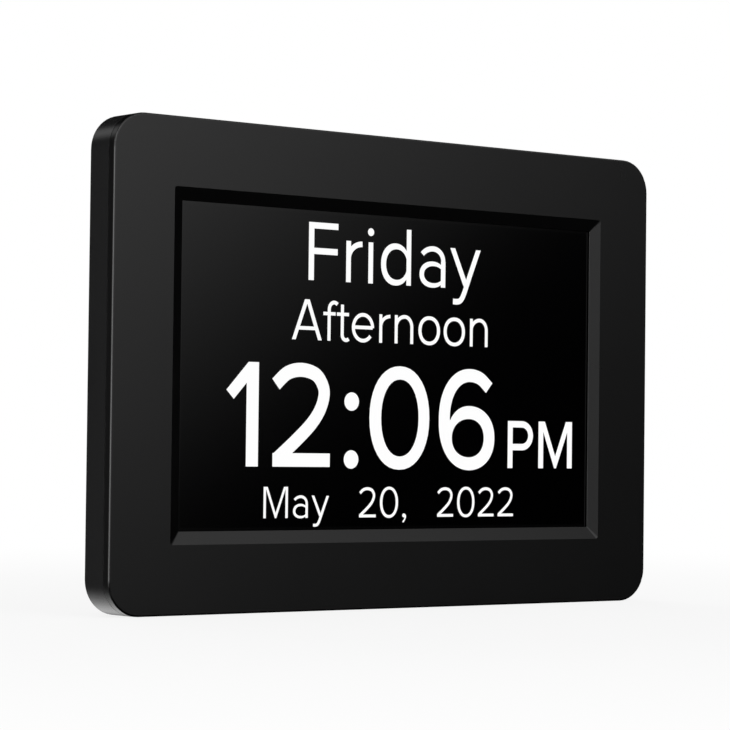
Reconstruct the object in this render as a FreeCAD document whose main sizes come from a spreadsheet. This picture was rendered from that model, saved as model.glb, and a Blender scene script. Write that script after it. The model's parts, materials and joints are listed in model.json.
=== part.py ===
"""Day clock: a seven inch display in a two-piece case, with a fold-out leg and six rear buttons.

Millimetres.  X runs to the right as seen from the front, Y into the clock and Z up.  The origin is
the centre of the flat underside.  A depth is counted from the front face towards the back.
"""
import FreeCAD, Part
import math
import os
import re

import Sketcher

Vector = FreeCAD.Vector

# ---------------------------------------------------------------------------------------------
# Driving dimensions
# ---------------------------------------------------------------------------------------------
SIZES = {
    # case
    "case_width": 200.0,
    "case_height": 138.0,
    "case_depth": 26.0,
    "corner_radius": 10.0,
    "bezel_thickness": 2.6,
    "front_round": 0.5,
    "rear_round": 0.3,
    "parting_gap": 0.2,
    "wall": 2.2,
    "rim_height": 2.2,
    "rim_thickness": 1.2,
    "rim_fit": 0.15,
    "hump_inset": 14.0,
    "hump_corner": 8.0,
    "hump_round": 1.5,
    # window and display
    "side_border": 20.0,
    "top_border": 19.5,
    "bevel_side": 3.4,
    "bevel_top": 3.6,
    "bevel_depth": 1.3,
    "window_corner": 0.8,
    "opening_corner": 0.3,
    "lip_land": 0.3,
    "gasket_thickness": 0.3,
    "gasket_reveal": 0.8,
    "display_lap_side": 5.9,
    "display_lap_top": 6.1,
    "display_fit": 0.4,
    "sheet_fit": 0.3,
    "glass_thickness": 1.2,
    "diffuser_thickness": 0.3,
    "guide_thickness": 2.4,
    "tray_sheet": 0.4,
    "led_bar_height": 2.0,
    # display retainers
    "retainer_lap": 3.9,
    "retainer_clear": 0.4,
    "retainer_length": 92.0,
    "retainer_thickness": 1.2,
    "retainer_screw_spread": 76.0,
    "retainer_boss_radius": 2.6,
    "retainer_boss_gap": 0.3,
    "retainer_head_clear": 1.0,
    # screws
    "screw_radius": 1.25,
    "screw_length": 6.2,
    "short_screw_length": 3.6,
    "head_radius": 2.2,
    "head_height": 1.5,
    "cross_width": 0.7,
    "cross_span": 2.6,
    "cross_deep": 0.8,
    "thread_fit": 0.05,
    "screw_hole_fit": 0.3,
    "pilot_spare": 0.6,
    "case_screw_inset": 7.0,
    "case_screw_margin": 10.0,
    "case_boss_radius": 3.0,
    "shell_boss_radius": 4.0,
    "shell_boss_height": 1.5,
    "counterbore_fit": 0.3,
    "counterbore_deep": 1.6,
    # main board
    "board_end": 3.5,
    "board_height": 62.0,
    "board_thickness": 1.6,
    "board_clear": 3.8,
    "board_drop": 47.0,
    "board_edge_gap": 0.6,
    "board_hole_inset": 5.0,
    "post_radius": 2.8,
    # parts on the main board
    "processor_size": 14.0,
    "processor_height": 1.4,
    "memory_width": 10.0,
    "memory_height": 6.0,
    "chip_thickness": 1.1,
    "processor_right": 8.0,
    "processor_rise": 34.0,
    "part_gap": 3.0,
    "sound_inset": 12.0,
    "sound_rise": 12.0,
    "power_gap": 6.0,
    "crystal_radius": 1.0,
    "crystal_length": 6.2,
    "inductor_size": 6.0,
    "inductor_height": 3.0,
    "capacitor_radius": 2.5,
    "capacitor_height": 5.4,
    "capacitor_pitch": 8.0,
    "cell_radius": 10.0,
    "cell_thickness": 3.2,
    "holder_wall": 1.2,
    "holder_floor": 0.8,
    "holder_fit": 0.3,
    "holder_share": 0.8,
    "cell_gap": 0.8,
    "cell_rise": 34.0,
    "speaker_lead_run": 8.7,
    "socket_edge": 1.0,
    "socket_wall": 1.5,
    "socket_width": 7.5,
    "socket_height": 4.0,
    "socket_thickness": 3.2,
    "flex_width": 30.0,
    "flex_sheet": 0.2,
    "flex_drop": 3.0,
    "flex_socket_thickness": 2.0,
    "flex_socket_height": 4.0,
    "flex_landing": 4.0,
    # power inlet
    "jack_length": 12.0,
    "jack_width": 6.4,
    "jack_height": 6.0,
    "jack_nose_radius": 2.8,
    "jack_bore_radius": 1.9,
    "jack_bore_deep": 9.0,
    "jack_pin_radius": 0.65,
    "jack_pin_recess": 1.0,
    "jack_hole_fit": 0.2,
    "jack_rise": 23.0,
    # buttons and their board
    "button_pitch": 10.0,
    "button_radius": 3.4,
    "button_proud": 0.8,
    "button_edge_round": 0.6,
    "button_flange_radius": 4.3,
    "button_flange": 1.0,
    "button_stop_gap": 0.05,
    "button_stem_radius": 1.6,
    "button_hole_fit": 0.25,
    "button_travel": 0.6,
    "button_stem_length": 2.2,
    "button_row_right": 18.0,
    "button_post_offset": 8.0,
    "button_board_end": 4.0,
    "button_row_drop": 23.0,
    "switch_size": 6.0,
    "switch_height": 3.1,
    "plunger_radius": 1.7,
    "plunger_proud": 1.2,
    "plunger_deep": 1.2,
    "plunger_hole_fit": 0.2,
    "plunger_spare": 0.2,
    "button_board_height": 14.0,
    "button_board_thickness": 1.2,
    # loudspeaker
    "speaker_radius": 14.5,
    "speaker_inset": 28.0,
    "speaker_drop": 22.0,
    "speaker_stand": 2.6,
    "speaker_stand_wall": 1.4,
    "speaker_flange": 0.8,
    "speaker_step": 0.5,
    "speaker_height": 6.4,
    "speaker_wall": 0.8,
    "speaker_neck_radius": 9.0,
    "magnet_radius": 8.0,
    "magnet_height": 3.6,
    "cone_edge": 0.6,
    "cone_ledge": 1.6,
    "cone_ledge_width": 1.0,
    "cone_fit": 0.15,
    "cone_sheet": 0.5,
    "cone_cap_radius": 4.5,
    "cone_rise": 1.2,
    "terminal_reach": 3.0,
    "terminal_width": 6.0,
    "terminal_sheet": 1.6,
    "ear_radius": 3.0,
    "ear_reach": 3.6,
    "ear_neck": 4.8,
    "grille_pitch": 3.2,
    "grille_slot": 1.5,
    # leg
    "leg_width": 44.0,
    "leg_thickness": 3.5,
    "leg_clear": 0.5,
    "leg_foot_gap": 1.2,
    "leg_corner": 5.0,
    "leg_notch_radius": 7.0,
    "leg_recess_deep": 5.8,
    "leg_recess_wall": 2.0,
    "leg_recess_top": 4.2,
    "hinge_drop": 38.0,
    "hinge_deep": 2.6,
    "hinge_barrel_radius": 2.5,
    "hinge_pin_radius": 1.25,
    "hinge_pin_fit": 0.05,
    "hinge_pin_end": 0.2,
    "stop_heel": 3.0,
    "foot_pad_height": 6.0,
    "foot_pad_thickness": 0.8,
    "foot_pad_inset": 2.0,
    # wall hanging keyholes
    "keyhole_inset": 20.0,
    "keyhole_drop": 54.0,
    "keyhole_radius": 4.5,
    "keyhole_slot": 4.4,
    "keyhole_travel": 8.0,
    # cooling slots
    "vent_pitch": 5.0,
    "vent_width": 1.8,
    "vent_length": 13.0,
    "vent_rise": 10.0,
    "vent_centre": 55.0,
    # leads
    "lead_radius": 0.6,
    "lead_pitch": 2.0,
}

# Depths of the stack, counted from the front face
PANEL_SEAT = "(bevel_depth + lip_land)"
GLASS_FRONT = f"({PANEL_SEAT} + gasket_thickness)"
GLASS_BACK = f"({GLASS_FRONT} + glass_thickness)"
GUIDE_FRONT = f"({GLASS_BACK} + diffuser_thickness)"
GUIDE_BACK = f"({GUIDE_FRONT} + guide_thickness)"
TRAY_BACK = f"({GUIDE_BACK} + tray_sheet)"
RETAINER_BACK = f"({TRAY_BACK} + retainer_thickness)"
SHELL_FRONT = "(bezel_thickness + parting_gap)"
FLANGE_INSIDE = f"({RETAINER_BACK} + head_height + retainer_head_clear)"
SIDE_DEPTH = f"({FLANGE_INSIDE} + wall)"
SHELL_BOSS_FRONT = f"({FLANGE_INSIDE} - shell_boss_height)"
SCREW_SEAT = f"({SIDE_DEPTH} - counterbore_deep)"
BACK_INSIDE = "(case_depth - wall)"
RECESS_FLOOR = "(case_depth - leg_recess_deep)"
RECESS_INSIDE = f"({RECESS_FLOOR} - leg_recess_wall)"
BOARD_BACK = f"({RECESS_INSIDE} - board_clear)"
BOARD_FRONT = f"({BOARD_BACK} - board_thickness)"
HINGE_DEPTH = "(case_depth - hinge_deep)"
FLANGE_FRONT = f"({BACK_INSIDE} - button_stop_gap - button_flange)"
SWITCH_BACK = f"({FLANGE_FRONT} - button_stem_length - plunger_proud)"

# Places across and up the case
WINDOW_WIDTH = "(case_width - 2 * side_border)"
WINDOW_HEIGHT = "(case_height - 2 * top_border)"
OPENING_WIDTH = f"({WINDOW_WIDTH} - 2 * bevel_side)"
OPENING_HEIGHT = f"({WINDOW_HEIGHT} - 2 * bevel_top)"
DISPLAY_WIDTH = f"({OPENING_WIDTH} + 2 * display_lap_side)"
DISPLAY_HEIGHT = f"({OPENING_HEIGHT} + 2 * display_lap_top)"
MID_Z = "(case_height / 2)"
HUMP_HALF = "(case_width / 2 - hump_inset)"
HUMP_TOP = "(case_height - hump_inset)"
HUMP_INSIDE = f"({HUMP_HALF} - wall)"
BOARD_RIGHT = f"({HUMP_INSIDE} - board_edge_gap)"
BOARD_BOTTOM = f"({MID_Z} - board_drop)"
BOARD_TOP = f"({BOARD_BOTTOM} + board_height)"
HINGE_Z = f"({HUMP_TOP} - hinge_drop)"
BUTTON_Z = f"({HUMP_TOP} - button_row_drop)"
SPEAKER_X = f"(-{HUMP_HALF} + speaker_inset)"
SPEAKER_Z = f"({HUMP_TOP} - speaker_drop)"
SPEAKER_BACK = f"({BACK_INSIDE} - speaker_stand)"
SPEAKER_FRONT = f"({SPEAKER_BACK} - speaker_height)"
RECESS_HALF = "(leg_width / 2 + leg_clear)"
HOLDER_RADIUS = "(cell_radius + holder_fit + holder_wall)"
CELL_X = f"(-({RECESS_HALF} + leg_recess_wall + cell_gap + {HOLDER_RADIUS}))"
TERMINAL_END = f"({SPEAKER_X} + speaker_radius + terminal_reach)"
SPEAKER_SOCKET_X = f"({TERMINAL_END} + speaker_lead_run)"
PAST_CELL = f"({CELL_X} - {HOLDER_RADIUS} - board_end)"
PAST_SOCKET = f"({SPEAKER_SOCKET_X} - socket_width / 2 - socket_edge - post_radius - board_hole_inset)"
BOARD_LEFT = f"min({PAST_CELL}; {PAST_SOCKET})"

doc = FreeCAD.newDocument("day_clock")
sheet = doc.addObject("Spreadsheet::Sheet", "Sizes")
subparts = []


def fill_sheet():
    """Write each driving dimension to a cell of its own and give the cell its name."""
    for row, (name, value) in enumerate(SIZES.items(), start=1):
        sheet.set(f"A{row}", name)
        sheet.set(f"B{row}", str(value))
        sheet.setAlias(f"B{row}", name)
    doc.recompute()


def with_sheet(expression):
    """Point the dimension names in an expression at the sheet."""
    return re.sub(
        r"[a-z_]+", lambda word: f"Sizes.{word[0]}" if word[0] in SIZES else word[0], expression
    )


def size(name):
    """A driving dimension as it stands in the sheet."""
    return float(sheet.get(name))


def bind(obj, prop, expression):
    obj.setExpression(prop, with_sheet(str(expression)))


def y_of(depth):
    """The Y of a depth behind the front face."""
    return f"({depth}) - case_depth / 2"


def span(middle, extent):
    """The two ends of an extent about its middle."""
    return f"({middle}) - ({extent}) / 2", f"({middle}) + ({extent}) / 2"


def keep(name, obj):
    """Give a finished piece its name and list it for writing."""
    obj.Label = name
    subparts.append(obj)
    return obj


# ---------------------------------------------------------------------------------------------
# Building blocks
# ---------------------------------------------------------------------------------------------
def block(name, x, depth, z):
    """A box between two ends along each of the three ways."""
    box = doc.addObject("Part::Box", name)
    bind(box, "Length", f"({x[1]}) - ({x[0]})")
    bind(box, "Width", f"({depth[1]}) - ({depth[0]})")
    bind(box, "Height", f"({z[1]}) - ({z[0]})")
    bind(box, "Placement.Base.x", x[0])
    bind(box, "Placement.Base.y", y_of(depth[0]))
    bind(box, "Placement.Base.z", z[0])
    return box


TURNS = {
    "x": FreeCAD.Rotation(Vector(0, 1, 0), 90),
    "y": FreeCAD.Rotation(Vector(1, 0, 0), -90),
    "z": FreeCAD.Rotation(),
}


def stand(obj, along, x, depth, z):
    """Turn a round primitive along an axis and set its foot at a point."""
    obj.Placement = FreeCAD.Placement(Vector(), TURNS[along])
    bind(obj, "Placement.Base.x", x)
    bind(obj, "Placement.Base.y", y_of(depth))
    bind(obj, "Placement.Base.z", z)
    return obj


def rod(name, along, x, depth, z, radius, length):
    """A cylinder that starts at a point and runs along an axis."""
    cylinder = doc.addObject("Part::Cylinder", name)
    bind(cylinder, "Radius", radius)
    bind(cylinder, "Height", length)
    return stand(cylinder, along, x, depth, z)


def taper(name, x, depth, z, front_radius, back_radius, length):
    """A cone along Y that starts at a point."""
    cone = doc.addObject("Part::Cone", name)
    bind(cone, "Radius1", front_radius)
    bind(cone, "Radius2", back_radius)
    bind(cone, "Height", length)
    return stand(cone, "y", x, depth, z)


def fuse(name, pieces):
    joined = doc.addObject("Part::MultiFuse", name)
    joined.Shapes = pieces
    joined.Refine = True
    return joined


def group(name, pieces):
    """Separate solids that share one node."""
    together = doc.addObject("Part::Compound", name)
    together.Links = pieces
    return together


def cut(name, base, tools):
    """A piece less one tool, or less several."""
    tool = tools[0] if len(tools) == 1 else fuse(f"{name}_tools", tools)
    result = doc.addObject("Part::Cut", name)
    result.Base = base
    result.Tool = tool
    result.Refine = True
    return result


def ring(name, outer, inner):
    return cut(name, outer, [inner])


def plane_of(body, role):
    return [plane for plane in body.Origin.OriginFeatures if plane.Role == role][0]


def sketch_at(body, name, depth, x="0", z="0"):
    """A sketch parallel to the front face, with its own origin at a place on that plane."""
    sketch = body.newObject("Sketcher::SketchObject", name)
    sketch.AttachmentSupport = [(plane_of(body, "XZ_Plane"), "")]
    sketch.MapMode = "FlatFace"
    bind(sketch, "AttachmentOffset.Base.x", x)
    bind(sketch, "AttachmentOffset.Base.y", z)
    bind(sketch, "AttachmentOffset.Base.z", f"-({y_of(depth)})")
    return sketch


def name_constraint(sketch, name, constraint, expression):
    index = sketch.addConstraint(constraint)
    sketch.renameConstraint(index, name)
    bind(sketch, f"Constraints.{name}", expression)


def draw_rectangle(sketch, width, height):
    """A rectangle about the sketch's origin."""
    corners = [Vector(-9, -6, 0), Vector(9, -6, 0), Vector(9, 6, 0), Vector(-9, 6, 0)]
    for i in range(4):
        sketch.addGeometry(Part.LineSegment(corners[i], corners[(i + 1) % 4]), False)
    for i in range(4):
        sketch.addConstraint(Sketcher.Constraint("Coincident", i, 2, (i + 1) % 4, 1))
        sketch.addConstraint(Sketcher.Constraint("Horizontal" if i % 2 == 0 else "Vertical", i))
    sketch.addConstraint(Sketcher.Constraint("Symmetric", 0, 1, 2, 1, -1, 1))
    name_constraint(sketch, "width", Sketcher.Constraint("DistanceX", 0, 1, 0, 2, 18.0), width)
    name_constraint(sketch, "height", Sketcher.Constraint("DistanceY", 1, 1, 1, 2, 12.0), height)


def draw_rounded_rectangle(sketch, width, height, radius):
    """A rectangle with four equal round corners about the sketch's origin."""
    half_w, half_h, bend = 9.0, 6.0, 2.0
    turns = [(1, -1, -90), (1, 1, 0), (-1, 1, 90), (-1, -1, 180)]
    sides = [
        ((-half_w + bend, -half_h), (half_w - bend, -half_h)),
        ((half_w, -half_h + bend), (half_w, half_h - bend)),
        ((half_w - bend, half_h), (-half_w + bend, half_h)),
        ((-half_w, half_h - bend), (-half_w, -half_h + bend)),
    ]
    for (ax, ay), (bx, by) in sides:
        sketch.addGeometry(Part.LineSegment(Vector(ax, ay, 0), Vector(bx, by, 0)), False)
    for sx, sy, start in turns:
        centre = Vector(sx * (half_w - bend), sy * (half_h - bend), 0)
        circle = Part.Circle(centre, Vector(0, 0, 1), bend)
        first = math.radians(start)
        sketch.addGeometry(Part.ArcOfCircle(circle, first, first + math.pi / 2), False)
    for i in range(4):
        arc = 4 + i
        sketch.addConstraint(Sketcher.Constraint("Tangent", i, 2, arc, 1))
        sketch.addConstraint(Sketcher.Constraint("Tangent", arc, 2, (i + 1) % 4, 1))
        sketch.addConstraint(Sketcher.Constraint("Horizontal" if i % 2 == 0 else "Vertical", i))
    for arc in (5, 6, 7):
        sketch.addConstraint(Sketcher.Constraint("Equal", 4, arc))
    sketch.addConstraint(Sketcher.Constraint("Symmetric", 0, 1, 2, 1, -1, 1))
    name_constraint(sketch, "radius", Sketcher.Constraint("Radius", 4, bend), radius)
    width_pair = Sketcher.Constraint("DistanceX", 3, 1, 1, 1, 2 * half_w)
    height_pair = Sketcher.Constraint("DistanceY", 0, 1, 2, 1, 2 * half_h)
    name_constraint(sketch, "width", width_pair, width)
    name_constraint(sketch, "height", height_pair, height)


def pad(body, name, sketch, length):
    """Raise a sketch towards the back."""
    feature = body.newObject("PartDesign::Pad", name)
    feature.Profile = sketch
    feature.Reversed = True
    bind(feature, "Length", length)
    return feature


def pocket(body, name, sketch, length):
    """Sink a sketch towards the back, and make sure that it takes material away."""
    doc.recompute()
    before = body.Shape.Volume
    feature = body.newObject("PartDesign::Pocket", name)
    feature.Profile = sketch
    bind(feature, "Length", length)
    doc.recompute()
    if not body.Shape.Volume < before:
        raise RuntimeError(f"{name} cuts nothing")
    return feature


def round_edges(body, name, radius, wanted):
    """Fillet the edges of a body that a test picks."""
    doc.recompute()
    last = body.Tip
    edges = [f"Edge{i}" for i, edge in enumerate(last.Shape.Edges, start=1) if wanted(edge)]
    if not edges:
        raise RuntimeError(f"{name} finds no edge")
    feature = body.newObject("PartDesign::Fillet", name)
    feature.Base = (last, edges)
    bind(feature, "Radius", radius)
    doc.recompute()
    return feature


def lies_at(edge, y):
    """True for an edge that stays at one Y all along."""
    return abs(edge.BoundBox.YMin - y) < 1e-4 and abs(edge.BoundBox.YMax - y) < 1e-4


# ---------------------------------------------------------------------------------------------
# Screws and the holes they need
# ---------------------------------------------------------------------------------------------
def screw(name, x, seat, z, from_behind, length):
    """A pan head screw: the head lies on its seat and the shank runs away from the head."""
    if from_behind:
        shank_from = f"({seat}) - {length}"
        head_from = seat
        cross = (f"({seat}) + head_height - cross_deep", f"({seat}) + head_height")
    else:
        shank_from = seat
        head_from = f"({seat}) - head_height"
        cross = (f"({seat}) - head_height", f"({seat}) - head_height + cross_deep")
    shank = rod(f"{name}_shank", "y", x, shank_from, z, "screw_radius", length)
    head = rod(f"{name}_head", "y", x, head_from, z, "head_radius", "head_height")
    wide = block(f"{name}_cross_wide", span(x, "cross_span"), cross, span(z, "cross_width"))
    tall = block(f"{name}_cross_tall", span(x, "cross_width"), cross, span(z, "cross_span"))
    return cut(f"{name}_piece", fuse(f"{name}_blank", [shank, head]), [wide, tall])


def screw_set(name, places, seat, from_behind, length="screw_length"):
    pieces = [
        screw(f"{name}_{i}", x, seat, z, from_behind, length) for i, (x, z) in enumerate(places)
    ]
    return keep(name, group(name, pieces))


def pilots(name, places, mouth, seat, from_behind, length="screw_length"):
    """The holes that screws cut their threads in, from the mouth to just past the tip."""
    taken = f"(({seat}) - ({mouth}))" if from_behind else f"(({mouth}) - ({seat}))"
    reach = f"({length} - {taken} + pilot_spare)"
    start = f"({mouth}) - {reach}" if from_behind else mouth
    return [
        rod(f"{name}_{i}", "y", x, start, z, "screw_radius + thread_fit", reach)
        for i, (x, z) in enumerate(places)
    ]


def clearances(name, places, depth):
    """Loose holes for screws between two depths."""
    return [
        rod(f"{name}_{i}", "y", x, depth[0], z, "screw_radius + screw_hole_fit",
            f"({depth[1]}) - ({depth[0]})")
        for i, (x, z) in enumerate(places)
    ]


def pegs(name, places, radius, depth):
    """Round bosses or posts between two depths."""
    return [
        rod(f"{name}_{i}", "y", x, depth[0], z, radius, f"({depth[1]}) - ({depth[0]})")
        for i, (x, z) in enumerate(places)
    ]


CASE_SCREW_X = "(case_width / 2 - case_screw_inset)"
CASE_SCREWS = [
    (f"{side} * {CASE_SCREW_X}", z)
    for side in (-1, 1)
    for z in ("case_screw_margin", MID_Z, "(case_height - case_screw_margin)")
]
CASE_BOSS_SIDE = f"({CASE_SCREW_X} - case_boss_radius)"
RETAINER_SCREW_X = f"({CASE_BOSS_SIDE} - retainer_boss_gap - retainer_boss_radius)"
RETAINER_SCREWS = [
    (f"{side} * {RETAINER_SCREW_X}", f"({MID_Z} + {up} * retainer_screw_spread / 2)")
    for side in (-1, 1)
    for up in (-1, 1)
]
BOARD_SCREWS = [
    (x, z)
    for x in (f"({BOARD_LEFT} + board_hole_inset)", f"({BOARD_RIGHT} - board_hole_inset)")
    for z in (f"({BOARD_BOTTOM} + board_hole_inset)", f"({BOARD_TOP} - board_hole_inset)")
]
BUTTON_NAMES = ["right", "left", "down", "up", "exit", "menu"]
BUTTON_XS = [
    f"({HUMP_HALF} - button_row_right - {i} * button_pitch)" for i in range(len(BUTTON_NAMES))
]
BUTTON_BOARD_SCREWS = [
    (f"({BUTTON_XS[-1]} - button_post_offset)", BUTTON_Z),
    (f"({BUTTON_XS[0]} + button_post_offset)", BUTTON_Z),
]
BUTTON_BOARD_BACK = f"({SWITCH_BACK} - switch_height)"
BUTTON_BOARD_FRONT = f"({BUTTON_BOARD_BACK} - button_board_thickness)"
EAR_PLACES = [
    (f"({SPEAKER_X} + {side} * (speaker_radius + ear_reach))", SPEAKER_Z) for side in (-1, 1)
]
EAR_FRONT = f"({SPEAKER_BACK} - speaker_flange)"
KEYHOLES = [
    (f"{side} * ({HUMP_HALF} - keyhole_inset)", f"({HUMP_TOP} - keyhole_drop)") for side in (-1, 1)
]
GRILLE_SLOTS = 7
VENT_SLOTS = 6


# ---------------------------------------------------------------------------------------------
# Case
# ---------------------------------------------------------------------------------------------
def make_front_bezel():
    """The front plate: bevelled window, display seat, locating rim and screw bosses."""
    body = doc.addObject("PartDesign::Body", "bezel_body")
    outline = sketch_at(body, "bezel_outline", "0", z=MID_Z)
    draw_rounded_rectangle(outline, "case_width", "case_height", "corner_radius")
    pad(body, "bezel_plate", outline, "bezel_thickness")
    doc.recompute()
    front = body.Shape.BoundBox.YMin
    round_edges(body, "bezel_front_round", "front_round", lambda edge: lies_at(edge, front))

    inset = "2 * (wall + rim_fit)"
    rim = sketch_at(body, "rim_outline", "bezel_thickness", z=MID_Z)
    draw_rounded_rectangle(
        rim, f"case_width - {inset}", f"case_height - {inset}", "corner_radius - wall - rim_fit"
    )
    pad(body, "rim", rim, "rim_height")
    inset = "2 * (wall + rim_fit + rim_thickness)"
    hollow = sketch_at(body, "rim_hollow", "bezel_thickness", z=MID_Z)
    draw_rounded_rectangle(
        hollow,
        f"case_width - {inset}",
        f"case_height - {inset}",
        "corner_radius - wall - rim_fit - rim_thickness",
    )
    pocket(body, "rim_pocket", hollow, "rim_height")

    opening = sketch_at(body, "opening", "0", z=MID_Z)
    draw_rounded_rectangle(opening, OPENING_WIDTH, OPENING_HEIGHT, "opening_corner")
    pocket(body, "opening_pocket", opening, "bezel_thickness")

    seat = sketch_at(body, "display_seat", PANEL_SEAT, z=MID_Z)
    draw_rectangle(seat, f"{DISPLAY_WIDTH} + 2 * display_fit", f"{DISPLAY_HEIGHT} + 2 * display_fit")
    pocket(body, "seat_pocket", seat, f"bezel_thickness - {PANEL_SEAT}")

    outer = sketch_at(body, "bevel_front", "0", z=MID_Z)
    draw_rounded_rectangle(outer, WINDOW_WIDTH, WINDOW_HEIGHT, "window_corner")
    inner = sketch_at(body, "bevel_back", "bevel_depth", z=MID_Z)
    draw_rounded_rectangle(inner, OPENING_WIDTH, OPENING_HEIGHT, "opening_corner")
    doc.recompute()
    before = body.Shape.Volume
    bevel = body.newObject("PartDesign::SubtractiveLoft", "bevel")
    bevel.Profile = outer
    bevel.Sections = [inner]
    doc.recompute()
    if not body.Shape.Volume < before:
        raise RuntimeError("bevel cuts nothing")

    case_bosses = pegs(
        "case_boss", CASE_SCREWS, "case_boss_radius", ("bezel_thickness", SHELL_BOSS_FRONT)
    )
    retainer_bosses = pegs(
        "retainer_boss", RETAINER_SCREWS, "retainer_boss_radius", ("bezel_thickness", TRAY_BACK)
    )
    blank = fuse("bezel_blank", [body] + case_bosses + retainer_bosses)
    holes = pilots("case_pilot", CASE_SCREWS, SHELL_BOSS_FRONT, SCREW_SEAT, True)
    holes += pilots(
        "retainer_pilot", RETAINER_SCREWS, TRAY_BACK, RETAINER_BACK, True, "short_screw_length"
    )
    return keep("front_bezel", cut("front_bezel", blank, holes))


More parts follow.
